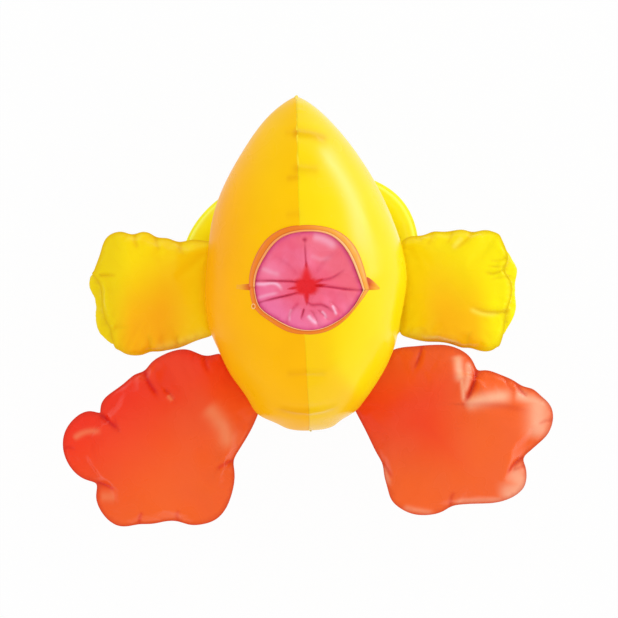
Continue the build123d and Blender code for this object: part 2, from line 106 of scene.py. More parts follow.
def grid_faces(rows, columns, close_columns=False, close_rows=False, flip=False):
    """Quads of a grid whose vertices run along the columns first."""
    faces = []
    for row in range(rows if close_rows else rows - 1):
        here, below = row * columns, (row + 1) % rows * columns
        for column in range(columns if close_columns else columns - 1):
            after = (column + 1) % columns
            quad = (here + column, here + after, below + after, below + column)
            faces.append(quad[::-1] if flip else quad)
    return faces


def make_sheet(name, grid, material, body="float", **closing):
    """New mesh piece from a grid of points."""
    grid = np.asarray(grid, dtype=float)
    return make_piece(name, grid, grid_faces(*grid.shape[:2], **closing), material, body)


def face_outwards(piece):
    """Turns a closed mesh's faces to look out of it."""
    mesh = piece.data
    work = bmesh.new()
    work.from_mesh(mesh)
    bmesh.ops.recalc_face_normals(work, faces=work.faces)
    work.to_mesh(mesh)
    work.free()


def add_modifier(piece, kind, **settings):
    modifier = piece.modifiers.new(kind.title(), kind)
    for key, value in settings.items():
        setattr(modifier, key, value)
    return modifier


def set_attribute(piece, name, values):
    """Float attribute on the vertices, which the materials read."""
    attribute = piece.data.attributes.new(name, "FLOAT", "POINT")
    attribute.data.foreach_set("value", np.asarray(values, dtype=np.float32).ravel())


def close_sheet(piece, thickness=0.3 * MM, offset=-1):
    """Gives an open film a little thickness."""
    add_modifier(piece, "SOLIDIFY", thickness=thickness, offset=offset)


def smooth_piece(piece):
    """Rounds a piece off with one level of subdivision."""
    return add_modifier(piece, "SUBSURF", levels=1, render_levels=1)


def smoothstep(low, high, value):
    t = np.clip((np.asarray(value, dtype=float) - low) / (high - low), 0.0, 1.0)
    return t * t * (3 - 2 * t)


def arc_length(points):
    """Distance along a polyline to each of its points."""
    return np.r_[0, np.cumsum(np.linalg.norm(np.diff(points, axis=0), axis=1))]


def unit(vectors):
    return vectors / np.maximum(np.linalg.norm(vectors, axis=-1, keepdims=True), 1e-12)


def ease(values, times):
    """Evens out values round a closed loop."""
    for _ in range(times):
        values = 0.25 * np.roll(values, 1, axis=0) + 0.5 * values + 0.25 * np.roll(values, -1, axis=0)
    return values


def spline(points, count):
    """Points along a natural cubic spline through control points, evenly spread in its parameter."""
    points = np.asarray(points, dtype=float)
    chord = arc_length(points)
    n = len(points)
    step = np.diff(chord)
    matrix, right = np.eye(n), np.zeros((n, points.shape[1]))
    for i in range(1, n - 1):
        matrix[i, i - 1:i + 2] = step[i - 1], 2 * (step[i - 1] + step[i]), step[i]
        slope = np.diff(points[i - 1:i + 2], axis=0) / step[i - 1:i + 1, None]
        right[i] = 6 * (slope[1] - slope[0])
    bend = np.linalg.solve(matrix, right)
    t = np.linspace(0, chord[-1], count)
    k = np.clip(np.searchsorted(chord, t, side="right") - 1, 0, n - 2)
    h, a, b = step[k][:, None], (chord[k + 1] - t)[:, None], (t - chord[k])[:, None]
    return (bend[k] * a ** 3 / (6 * h) + bend[k + 1] * b ** 3 / (6 * h)
            + (points[k] / h - bend[k] * h / 6) * a + (points[k + 1] / h - bend[k + 1] * h / 6) * b)


def curve(points, count):
    """Points in metres along a spline through control points in millimetres."""
    return spline(np.array(points) * MM, count)


def metres(lines):
    """Rows that start with a line in millimetres, with that line in metres."""
    return [(np.array(line) * MM, *rest) for line, *rest in lines]


def line_distance(x, y, line):
    """Signed distance from points to a polyline, and how far along it (0 to 1) the nearest point is."""
    best = np.full(np.shape(x), 1e9)
    side, along = np.zeros(np.shape(x)), np.zeros(np.shape(x))
    lengths = arc_length(line)
    for index, (start, end) in enumerate(zip(line[:-1], line[1:])):
        run = end - start
        span = run @ run
        t = np.clip(((x - start[0]) * run[0] + (y - start[1]) * run[1]) / span, 0, 1)
        gap = np.hypot(x - start[0] - t * run[0], y - start[1] - t * run[1])
        sign = np.sign((x - start[0]) * run[1] - (y - start[1]) * run[0])
        closer = gap < best
        best = np.where(closer, gap, best)
        side = np.where(closer, sign, side)
        along = np.where(closer, (lengths[index] + t * math.sqrt(span)) / lengths[-1], along)
    return best * side, along


def tone(x, y, lines, open_start=False):
    """0 to 1 near lines in metres, each with its half-width in millimetres and its strength."""
    total = np.zeros(np.shape(x))
    for line, width, amount in lines:
        gap, along = line_distance(x, y, spline(line, 14))
        fade = 1 - smoothstep(0.72, 1.02, along)
        if not open_start:
            fade = fade * smoothstep(-0.02, 0.15, along)
        total = np.maximum(total, amount * fade * np.exp(-(gap / (width * MM)) ** 2))
    return total


def fold_shape(gap, depth, width, lap=0, shoulder=(0.45, 2.4, 1.5), lean=1, reach=1):
    """Height across a fold whose sizes are in millimetres: a groove, and one side lapping over the other.

    The shoulders beside it are given by their share of the depth, and their place and spread in widths.
    """
    depth, width, lap = depth * MM, width * MM, lap * MM
    share, place, spread = shoulder
    return (-depth * np.exp(-(gap / width) ** 2)
            + share * depth * np.exp(-((np.abs(gap) - place * width) / (spread * width)) ** 2)
            + lap * np.tanh(gap / (lean * width)) * np.exp(-np.abs(gap) / (reach * width)))


def around(count):
    """Evenly spread angles round a circle."""
    return np.linspace(0, 2 * math.pi, count, endpoint=False)


def waves(position, seeds):
    """Irregular smooth waves between about -1 and 1, from a few fixed sines."""
    total = np.zeros(np.shape(position))
    for wavelength, phase, size in seeds:
        total = total + size * np.sin(2 * math.pi * position / wavelength + phase)
    return total


def round_waves(angle, *seeds, turn=2 * math.pi):
    """Waves that close up round a turn, each with how many there are, its phase and its size."""
    return waves(angle, [(turn / number, phase, size) for number, phase, size in seeds])


# ---------------------------------------------------------------- body shape

def body_width(y):
    """Half the body's width at a place along it, in its own frame."""
    tail = np.clip((y - BODY_WIDEST_Y) / BODY_TAIL_LENGTH, 0, 1)
    head = np.clip((BODY_WIDEST_Y - y) / BODY_HEAD_LENGTH, 0, 1)
    pinched = 1 - 0.17 * np.exp(-((y + 0.157) / 0.007) ** 2)
    taper = np.where(y >= BODY_WIDEST_Y, (1 - tail ** 1.65) ** 0.75, (1 - head ** 1.69) ** 0.4)
    return pinched * BODY_HALF_WIDTH * taper


# How the float is pulled out of true by its own pressure, from the head end to the tail: place along
# it, the sideways shift of the whole section, and what its left edge, its seam and its right edge add
BODY_BEND = curve((
    (-164, -1, 0, -2, -1), (-156, -2, 0.2, -0.7, -2.8), (-142, -3.4, 4.6, 0.9, -5.6),
    (-128, -3.9, 9.2, 1.1, -5.4), (-108, -4.3, 7.9, 1.3, -2.6), (-80, -4.8, 6.6, 1.6, 0),
    (-62, -4.8, 4.4, 1.2, 0), (-20, -1.6, 3.6, -0.6, 0), (20, -0.8, 1.5, -2.2, 0),
    (45, -1, -1.5, -2.4, 0), (75, -1, -3.3, -2, 0), (120, -1, -2.9, -0.9, 0),
    (150, -0.6, -3.2, -0.8, 0), (163, -0.5, -1, -0.7, 0)), 400)


def body_shift(x, y):
    """How far a point of the float's plain shape is moved sideways, in the float's own frame."""
    share = np.clip(x / np.maximum(body_width(y), 1e-6), -1, 1)
    whole, left, seam, right = (np.interp(y, BODY_BEND[:, 0], shift) for shift in BODY_BEND.T[1:])
    return (whole + left * np.clip(-share, 0, 1) ** 1.5 + seam * (1 - share ** 2) ** 2
            + right * np.clip(share, 0, 1) ** 1.5)


def to_body(x, y):
    """World x and y in the float body's own frame, where its seam is straight."""
    c, s = math.cos(BODY_TURN), math.sin(BODY_TURN)
    leaning, along = c * (x - BODY_SHIFT_X) + s * y, -s * (x - BODY_SHIFT_X) + c * y
    across = leaning
    for _ in range(5):
        across = leaning - body_shift(across, along)
    return across, along


def to_world(x, y):
    """World x and y of a point of the float body's own frame."""
    c, s = math.cos(BODY_TURN), math.sin(BODY_TURN)
    x = x + body_shift(x, y)
    return c * x - s * y + BODY_SHIFT_X, s * x + c * y


def world_points(points):
    """A grid of points of the float's own frame, in the world."""
    return np.dstack((*to_world(points[..., 0], points[..., 1]), points[..., 2]))


def body_rise(x, y, rise, ridge, power, soften=0.0):
    """Height of the skin from mid-height, in the body's own frame. A lower ridge is a sharper seam."""
    tail = np.clip((y - BODY_WIDEST_Y) / BODY_TAIL_LENGTH, 0, 1)
    head = np.clip((BODY_WIDEST_Y - y) / BODY_HEAD_LENGTH, 0, 1)
    profile = np.where(y >= BODY_WIDEST_Y, (1 - tail ** 2) ** 0.6, np.sqrt(1 - head ** 2))
    width = np.maximum(body_width(y), 1e-6)
    share = np.clip(np.sqrt(x * x + soften * soften) / width, 0, 1)
    return rise * profile * (1 - share ** ridge) ** power


# The upper skin lies a little under the CAD one, which leaves height for the seam and the rim
CROWN_SINK, CROWN_RIDGE, CROWN_POWER = 0.002, 1.42, 0.52
KEEL_RIDGE, KEEL_POWER = 5 / 3, 0.5


def crown(x, y, soften=0.0):
    """World height of the upper skin, in the body's own frame."""
    return BODY_MID_Z + body_rise(x, y, BODY_CROWN_RISE - CROWN_SINK, CROWN_RIDGE, CROWN_POWER, soften)


def keel(x, y):
    """World height of the underside, in the body's own frame."""
    return BODY_MID_Z - body_rise(x, y, BODY_KEEL_DROP, KEEL_RIDGE, KEEL_POWER)


def body_top(x, y, soften=0.0):
    """World height of the upper skin at world x and y."""
    return crown(*to_body(x, y), soften)


def body_bottom(x, y):
    """World height of the underside at world x and y; high above where there is no body."""
    bx, by = to_body(x, y)
    return np.where(np.abs(bx) < body_width(by), keel(bx, by), 1.0)


# Edges of the mouth, from the left corner over the top to the right corner and back below
RIM_UPPER_OUTER = ((-50.9, -23.9), (-50.1, -11.5), (-44.8, 4.5), (-36, 18.6), (-21.8, 29), (7.3, 33.4),
                   (35.1, 26.7), (47.8, 14.9), (57, -5.9), (62.6, -26.8))
RIM_UPPER_INNER = ((-46, -24.2), (-45.4, -16.5), (-36.5, 4.6), (-22.2, 21.3), (5.6, 28.3), (25, 25.2),
                   (39.3, 13.2), (48.6, -3.7), (57, -26.8))
RIM_LOWER_OUTER = ((-50.9, -23.9), (-49.4, -35.1), (-45.4, -45), (-34.4, -54.6), (-13.7, -66.4), (3.1, -69),
                   (19.9, -66.8), (37, -57.4), (51, -42.6), (62.6, -26.8))
RIM_LOWER_INNER = ((-46, -24.2), (-44.6, -33), (-41.6, -41.8), (-28.1, -53), (-12, -61.4), (3.1, -64.8),
                   (15.7, -63.6), (29, -58.2), (45.2, -46), (57, -26.8))


def polar_edge(edge, centre, angles):
    """Distance from a centre to a closed edge, at each angle."""
    offset = edge - np.array(centre)
    turn = np.arctan2(offset[:, 1], offset[:, 0])
    reach = np.hypot(offset[:, 0], offset[:, 1])
    order = np.argsort(turn)
    turn, reach = turn[order], reach[order]
    turn = np.r_[turn - 2 * math.pi, turn, turn + 2 * math.pi]
    reach = np.tile(reach, 3)
    return np.interp(np.mod(angles + math.pi, 2 * math.pi) - math.pi, turn, reach)


# Pinch creases that run from the seam: line in the body's frame, depth, half-width and how dark the painted
# shade in it is
BODY_CREASES = (
    (((0, 123.5), (15, 121), (31, 115)), 1.2, 2.3, 0.8),
    (((0, 123.5), (-13, 125)), 0.8, 1.5, 0.2),
    (((0, 88), (22, 86.5)), 0.9, 2.4, 0.5),
    (((0, 80), (-12, 79)), 0.9, 1.6, 0.4),
    (((0, 45), (-14, 44)), 0.7, 1.8, 0.2),
    (((0, 146), (9, 146.5)), 0.7, 1.2, 0),
    (((0, -104.5), (22, -106.5)), 1.1, 1.8, 0.45),
    (((0, -104.5), (-22, -105.5)), 0.7, 1.8, 0.3),
    (((0, -143), (14, -142.5), (34, -138)), 1.6, 1.8, 0.45),
    (((0, -143), (-14, -142.5), (-34, -138)), 1.4, 1.8, 0.45),
)

# Painted highlight along the right flank: line, half-width and amount
BODY_PAINTED_HIGHLIGHT = (
    (((23, 116), (29, 103), (40.5, 80), (49.5, 58.5), (53.5, 36), (57, 11), (62, -9)), 8, 0.55),
)


def body_relief(bx, by, top):
    """How far the skin stands off its plain shape: pinch creases, a tucked seam and faint waves."""
    relief = np.zeros(np.shape(bx))
    if top:
        for line, depth, width, _ in BODY_CREASES:
            gap, along = line_distance(bx, by, curve(line, 12))
            fade = (1 - along) ** 0.8 * smoothstep(0, 0.12, along + 0.05)
            relief += fade * fold_shape(gap, depth, width)
    near_seam = np.exp(-np.abs(bx) / (7 * MM))
    relief -= 0.9 * MM * near_seam
    tucks = waves(by, ((0.023, 0.4, 0.5), (0.0137, 1.9, 0.3), (0.037, 4.0, 0.5)))
    relief += 0.35 * MM * tucks * np.exp(-np.abs(bx) / (12 * MM))
    relief += 0.25 * MM * waves(bx + 0.6 * by, ((0.061, 1.0, 1.0), (0.083, 2.6, 0.8)))
    return relief


def lift(points, relief):
    """Moves a grid of points along its own normals."""
    down = np.gradient(points, axis=0)
    across = np.gradient(points, axis=1)
    return points + unit(np.cross(across, down)) * relief[..., None]


def body_skin(side, material):
    """One half of the float: from the mouth's rim out to the flank and in again to the sleeve."""
    columns, top_rows, bottom_rows = 300, 104, 52
    angles = np.linspace(-math.pi / 2, math.pi / 2, columns)
    if side < 0:
        angles = math.pi - angles
    sample = np.linspace(HEAD_END, TAIL_END, 6000)
    flank = np.c_[np.r_[body_width(sample), -body_width(sample)], np.r_[sample, sample]]
    outer = polar_edge(flank, MOUTH_CENTRE, angles)
    rim = np.r_[(curve(RIM_UPPER_OUTER, 400) + curve(RIM_UPPER_INNER, 400)) / 2,
                (curve(RIM_LOWER_OUTER, 400) + curve(RIM_LOWER_INNER, 400)) / 2]
    inner = polar_edge(np.c_[to_body(rim[:, 0], rim[:, 1])], MOUTH_CENTRE, angles)
    turn = np.linspace(0, 2 * math.pi, 720)
    hole = np.c_[to_body(CUSHION_HOLE_RADIUS * np.cos(turn), CUSHION_HOLE_RADIUS * np.sin(turn))]
    sleeve = polar_edge(hole, MOUTH_CENTRE, angles)
    blocks = []
    for rows, start, top in ((top_rows, inner, True), (bottom_rows, sleeve, False)):
        share = np.sin(np.linspace(0, math.pi / 2, rows))[:, None]
        reach = start[None, :] + (outer - start)[None, :] * share
        bx = MOUTH_CENTRE[0] + reach * np.cos(angles)[None, :]
        by = MOUTH_CENTRE[1] + reach * np.sin(angles)[None, :]
        bx[:, 0] = bx[:, -1] = 0.0
        z = crown(bx, by) if top else keel(bx, by)
        z[-1, :] = BODY_MID_Z
        points = np.dstack((bx, by, z))
        relief = body_relief(bx, by, top) * smoothstep(0, 0.08, 1 - share)
        moved = lift(points, relief * (side if top else -side))
        moved[:, (0, -1), 0] = 0.0
        moved[-1] = points[-1]
        blocks.append(moved)
    points = np.concatenate((blocks[0], blocks[1][-2::-1]), axis=0)
    name = "body_right_skin" if side > 0 else "body_left_skin"
    piece = make_sheet(name, world_points(points), material, flip=side > 0)
    bx, by, bz = (points[..., axis] for axis in range(3))
    # Painted shade along the pinch creases
    shades = [(line, 2.0 * width, dark) for line, _, width, dark in metres(BODY_CREASES)]
    set_attribute(piece, "crease_shade", (bz > BODY_MID_Z) * tone(bx, by, shades, open_start=True))
    # Painted highlight band along the right flank
    set_attribute(piece, "painted_light", (bz > BODY_MID_Z) * tone(bx, by, metres(BODY_PAINTED_HIGHLIGHT)))
    close_sheet(piece, 0.6 * MM)
    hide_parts("body_right_panel" if side > 0 else "body_left_panel")


def seam_profile(start_y, tip, end_y, count):
    """Line of the body's seam in its own frame: over the top to a tip and back underneath."""
    share = np.sin(np.linspace(0, math.pi / 2, count))
    top_y = start_y + (tip - start_y) * share
    low_y = (end_y + (tip - end_y) * share)[::-1]
    zero = np.zeros(count)
    top_z, low_z = crown(zero, top_y), keel(zero, low_y)
    top_z[-1] = low_z[0] = BODY_MID_Z
    return np.r_[top_y, low_y[1:]], np.r_[top_z, low_z[1:]]


def body_seam(name, start_y, tip, end_y, material):
    """The welded fin where the two halves meet."""
    y, z = seam_profile(start_y, tip, end_y, 150)
    run = unit(np.c_[np.gradient(y), np.gradient(z)])
    out = np.c_[-run[:, 1], run[:, 0]] * (1 if tip < start_y else -1)
    if out[3, 1] < 0:
        out = -out
    sway = 0.35 * MM * waves(arc_length(np.c_[y, z]), ((0.031, 0.7, 0.6), (0.017, 2.0, 0.4)))
    # across the fin: sideways and out from the skins
    section = ((-1.5, -2.2), (-1.15, -1), (-0.6, -0.4), (-0.4, 0.1), (0, 0.3), (0.4, 0.1), (0.6, -0.4),
               (1.15, -1), (1.5, -2.2))
    rows = []
    # at its tip the fin stands clear of the skins, which are fullest there
    clear = 0.9 * MM * np.exp(-((z - BODY_MID_Z) / (9 * MM)) ** 2)
    for across, rise in section:
        rise = rise * MM + clear
        rows.append(np.c_[np.full(len(y), across * MM) + sway * (rise > clear), y + out[:, 0] * rise,
                          z + out[:, 1] * rise])
    piece = make_sheet(name, world_points(np.array(rows)), material)
    close_sheet(piece)


# ---------------------------------------------------------------- rim of the mouth

def rim_band(name, node, outer_points, inner_points, material):
    """Welded band round half of the mouth, with a rolled bead along its inner edge."""
    count = 150
    outer, inner = curve(outer_points, count), curve(inner_points, count)
    # across the band: share from the outer edge to the inner one, and height above the skin
    section = ((-0.04, -0.9), (0, 0.5), (0.05, 1.1), (0.3, 1.7), (0.55, 1.6), (0.72, 1), (0.79, 1.1),
               (0.84, 1.8), (0.9, 2.1), (0.96, 1.7), (1, 0.7), (1.01, -0.6), (1, -3))
    length = arc_length(outer)
    pinch = smoothstep(0, 0.012, length) * smoothstep(0, 0.012, length[-1] - length)
    ripple = 0.25 * MM * waves(length, ((0.019, 0.3, 0.6), (0.011, 2.2, 0.5), (0.043, 1.1, 0.7)))
    rows = []
    for share, rise in section:
        edge = outer + (inner - outer) * share
        height = rise * MM * (0.45 + 0.55 * pinch) + ripple * (0.1 < share < 1.0)
        rows.append(np.c_[edge, body_top(edge[:, 0], edge[:, 1], 0.003) + height + 0.4 * MM])
    piece = make_sheet(name, rows, material)
    set_attribute(piece, "across", np.repeat([share for share, _ in section], count))
    close_sheet(piece, 0.5 * MM)
    smooth_piece(piece)
    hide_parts(node)


# How far the seam's ridge is rounded off where the rim's small parts lie on the body
CORNER_SOFTENING = 0.004


def corner_tuck(name, start, end, width, narrowing, material):
    """Folded corner of the band, lying on the body's skin."""
    rows, columns = 15, 11
    start, end = np.array(start) * MM, np.array(end) * MM
    run = end - start
    across = np.array((-run[1], run[0])) / np.linalg.norm(run)
    grid = np.zeros((rows, columns, 3))
    for row in range(rows):
        share = row / (rows - 1)
        half = width * MM * (1 - narrowing * share ** 1.5) / 2
        for column in range(columns):
            turn = -1 + 2 * column / (columns - 1)
            x, y = start + run * share + across * half * turn
            rise = (1 - turn * turn) ** 0.5 * (1.5 - share) * MM - 0.35 * MM
            rise -= 0.9 * MM * math.exp(-((turn + 0.15) / 0.3) ** 2) * (1 - 0.5 * share)
            grid[row, column] = x, y, body_top(x, y, CORNER_SOFTENING) + rise
    piece = make_sheet(name, grid, material)
    set_attribute(piece, "along", np.repeat(np.linspace(0, 1, rows), columns))
    close_sheet(piece, 0.4 * MM)
    smooth_piece(piece)


def rim_loop(material):
    """Small welded loop on the lower left of the rim."""
    centre, radius, wire = np.array((-47.0, -42.4)) * MM, 1.7 * MM, 0.5 * MM
    turn, roll = around(20)[:, None], around(8)[None, :]
    reach = radius + wire * np.cos(roll)
    x, y = centre[0] + reach * np.cos(turn), centre[1] + reach * 1.25 * np.sin(turn)
    z = body_top(x, y, CORNER_SOFTENING) + 1.6 * MM + wire * np.sin(roll)
    piece = make_sheet("rim_loop", np.dstack((x, y, z)), material, close_columns=True, close_rows=True)
    face_outwards(piece)
    # The loop takes the bead's colour, with its painted highlight
    set_attribute(piece, "across", np.full(x.size, 0.88))


# ---------------------------------------------------------------- throat

# Folds of the gathered film: line in millimetres from the star outwards, depth of the
# groove, its half-width, and how far one side laps over the other
FOLDS = (
    (((3, -6), (2.3, 5), (1.5, 18.5)), 1.5, 0.9, 0.4),
    (((-3, -19.4), (-25, -18.6), (-45, -18.2)), 2.4, 1.1, -0.9),
    (((-3, -29), (-12, -31.5), (-26, -34.6), (-43.5, -39.5)), 2.2, 1, 0.8),
    (((9, -23), (28, -24.6), (40, -26.2), (56.5, -27.2)), 2.3, 1.2, 0.7),
    (((15, -18.2), (26.5, -15.6), (37.6, -8.7)), 1.5, 1.5, -0.5),
    (((3.8, -38.5), (8, -41), (16, -40.8), (22.5, -43.2), (28.3, -47.4)), 1.7, 1.5, -0.9),
    (((0.6, -44.9), (-2, -54.1)), 1.9, 0.9, 0.8),
    (((-5, -40), (-11, -47), (-15.5, -57.5)), 1, 1.8, 0.4),
    (((7.5, -46.5), (11, -52), (14.5, -60.5)), 1, 1.3, 0.6),
    (((14, -46), (19.5, -51), (24, -55.5)), 0.9, 1.2, 0.6),
    (((25.5, -38), (31, -43), (34.5, -48)), 0.9, 1.4, 0.6),
    (((-6, -12), (-14, -3), (-26, 4)), 0.6, 2.6, 0.3),
    (((12, -10), (20, 0), (30, 8)), 0.6, 2.8, -0.3),
)
# Arms of the star-shaped opening: direction in degrees, length, half-width
STAR_ARMS = ((90, 23.5, 7.4), (-89, 18.5, 4.8), (188, 18.5, 3.4), (165, 12, 4.6), (24, 17.5, 4.6),
             (4, 20.5, 3.6), (-42, 12.5, 4.4))
STAR_CORE = 11.6
# Pinch in the film above the star
KNOT = (1.4 * MM, 20.4 * MM)
# Painted highlights on the film beside its folds: line, half-width and amount
THROAT_PAINTED_HIGHLIGHTS = (
    (((-46.5, -21), (-36, -21.4), (-26.5, -20.8), (-21.5, -24.5), (-19.5, -29.5)), 1.6, 0.75),
    (((-44, -35), (-34, -31.8), (-22, -29.6)), 1.5, 0.4),
    (((4.2, -50.5), (8, -55), (14.5, -59.5)), 1.7, 0.85),
    (((17, -46.8), (20.5, -50.5), (21.5, -55)), 1.1, 0.7),
    (((27.5, -41), (29.5, -46), (32, -51.5)), 1.2, 0.85),
    (((-10.5, -44.5), (-13, -52), (-12.5, -57.5)), 1.1, 0.5),
    (((8, 23.5), (22, 19.5), (33, 11)), 4, 0.45),
    (((6, 6), (18, 2), (28, 5)), 2.5, 0.2),
    (((-40, -6), (-28, -11), (-20, -13)), 2.4, 0.3),
)


def star_depth(x, y):
    """1 in the heart of the gathered opening, falling to 0 along its arms."""
    dx, dy = x - STAR_CENTRE[0], y - STAR_CENTRE[1]
    square = (np.abs(dx / 1.1) ** 2.6 + np.abs(dy / 0.82) ** 2.6) ** (1 / 2.6)
    depth = 1 - smoothstep(0.3 * STAR_CORE * MM, 1.3 * STAR_CORE * MM, square)
    for direction, length, width in STAR_ARMS:
        c, s = math.cos(math.radians(direction)), math.sin(math.radians(direction))
        along, across = (dx * c + dy * s) / (length * MM), np.abs(-dx * s + dy * c) / (width * MM)
        taper = np.clip(1 - along, 0, 1)
        arm = np.where(along > 0, taper ** 0.4 * np.exp(-(across / (0.12 + 1.1 * taper)) ** 2), 0)
        depth = np.maximum(depth, 0.95 * arm)
    return np.clip(depth, 0, 1)


def throat_height(x, y, share):
    """World height of the gathered film; share runs from 0 at the star to 1 at the rim."""
    base = body_top(x, y, 0.020 - 0.017 * smoothstep(0.6, 1.0, share))
    z = base - 1.0 * MM - 4.6 * MM * (1 - share ** 3)
    dx, dy = x - STAR_CENTRE[0], y - STAR_CENTRE[1]
    turn = np.arctan2(dy, dx)
    lobes = round_waves(turn, (5, 0.5, 0.7), (3, 2.1, 0.5), (8, 1.0, 0.35))
    z += 1.4 * MM * lobes * np.sin(math.pi * np.clip(share, 0, 1))
    fine = round_waves(turn, (17, 0.9, 0.5), (23, 2.4, 0.4), (31, 0.2, 0.35))
    z += 0.22 * MM * fine * (1 - share) ** 0.5 * smoothstep(0.02, 0.3, share)
    z += 0.35 * MM * fine * smoothstep(0.72, 0.96, share) * (1 - smoothstep(0.985, 1.0, share))
    for line, depth, width, lap in FOLDS:
        gap, along = line_distance(x, y, curve(line, 14))
        ends = smoothstep(-0.02, 0.1, along) * (1 - 0.55 * smoothstep(0.6, 1.0, along))
        z += ends * fold_shape(gap, depth, width, lap, (0.3, 3.0, 2.2), 0.7, 5)
    knot = np.hypot(x - KNOT[0], y - KNOT[1])
    z -= 2.0 * MM * np.exp(-(knot / (2.2 * MM)) ** 2)
    z += 0.6 * MM * np.exp(-((knot - 4.5 * MM) / (2.2 * MM)) ** 2)
    return z - 5.5 * MM * star_depth(x, y) ** 1.3


def throat_folds(material):
    """Thin pink film drawn from the rim into the gathered star."""
    columns, rows = 320, 84
    angles = around(columns)
    rim = np.r_[curve(RIM_UPPER_INNER, 500), curve(RIM_LOWER_INNER, 500)]
    outer = polar_edge(rim, STAR_CENTRE, angles) + 0.2 * MM
    share = np.linspace(0.012, 1.0, rows)[:, None] ** 0.92
    x = STAR_CENTRE[0] + outer * share * np.cos(angles)
    y = STAR_CENTRE[1] + outer * share * np.sin(angles)
    z = throat_height(x, y, share + 0 * x)
    heart = np.mean(z[0])
    z[0] = heart
    verts = np.vstack((np.dstack((x, y, z)).reshape(-1, 3), (*STAR_CENTRE, heart - 0.5 * MM)))
    faces = grid_faces(rows, columns, close_columns=True, flip=True)
    faces += [(len(verts) - 1, column, (column + 1) % columns) for column in range(columns)]
    piece = make_piece("throat_folds", verts, faces, material, "float")
    face_outwards(piece)
    set_attribute(piece, "gather", star_depth(verts[:, 0], verts[:, 1]))
    set_attribute(piece, "reach", np.r_[(share + 0 * x).ravel(), 0.0])
    # Painted shade along the folds' grooves and round the pinch above the star
    creases = np.zeros(len(verts))
    for line, depth, width, _ in FOLDS:
        gap, along = line_distance(verts[:, 0], verts[:, 1], curve(line, 14))
        dark = np.exp(-(gap / (0.75 * width * MM)) ** 2) * (1 - 0.5 * smoothstep(0.6, 1.0, along))
        creases = np.maximum(creases, dark * min(1.0, depth / 2.2))
    knot = np.hypot(verts[:, 0] - KNOT[0], verts[:, 1] - KNOT[1])
    creases = np.maximum(creases, np.exp(-(knot / (2.0 * MM)) ** 2))
    set_attribute(piece, "crease_shade", creases)
    # Painted highlights beside the folds
    set_attribute(piece, "painted_light", tone(verts[:, 0], verts[:, 1], metres(THROAT_PAINTED_HIGHLIGHTS)))
    close_sheet(piece, 0.4 * MM)
    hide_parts("throat_funnel")


SLEEVE_RADIUS, NECK_RADIUS = 0.0483, 0.0085


def throat_tube(material):
    """Sleeve from the gathered neck down to the collar, pleated at its top."""
    columns, rows = 144, 60
    angles = around(columns)[None, :]
    share = np.linspace(0, 1, rows)[:, None]
    low, high = COLLAR_HIGH[2] - 0.004, NECK_Z
    z = low + (high - low) * share
    narrow = smoothstep(0.42, 1.0, share)
    radius = SLEEVE_RADIUS + (NECK_RADIUS - SLEEVE_RADIUS) * narrow
    pleat = round_waves(angles, (9, 0.2, 0.6), (14, 1.7, 0.4))
    radius = radius * (1 + 0.16 * narrow * pleat * (1 - 0.3 * share)) - 0.0006 * (1 - narrow) * (1 + pleat)
    centre_x, centre_y = 0.0051 * narrow, -0.0146 * narrow
    x, y = centre_x + radius * np.cos(angles), centre_y + radius * np.sin(angles)
    piece = make_sheet("throat_tube", np.dstack((x, y, z + 0 * x)), material, close_columns=True)
    for name, value in (("gather", 0), ("crease_shade", 0), ("painted_light", 0), ("reach", 1)):
        set_attribute(piece, name, np.full(rows * columns, value))
    close_sheet(piece, 0.5 * MM)
    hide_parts("throat_sleeve")


# ---------------------------------------------------------------- cushion

def cushion_edge(angles, inset):
    """The cushion's oval outline, moved in by an inset."""
    c, r = np.cos(angles), np.sin(angles)
    power = 2 / np.where(c < 0, CUSHION_LEFT_SQUARENESS, CUSHION_RIGHT_SQUARENESS)
    half_width = CUSHION_HALF_WIDTH * np.where(c < 0, CUSHION_LEFT_SPREAD, 1.0) - inset
    return (half_width * np.sign(c) * np.abs(c) ** power,
            (CUSHION_HALF_LENGTH - inset) * np.sign(r) * np.abs(r) ** power)


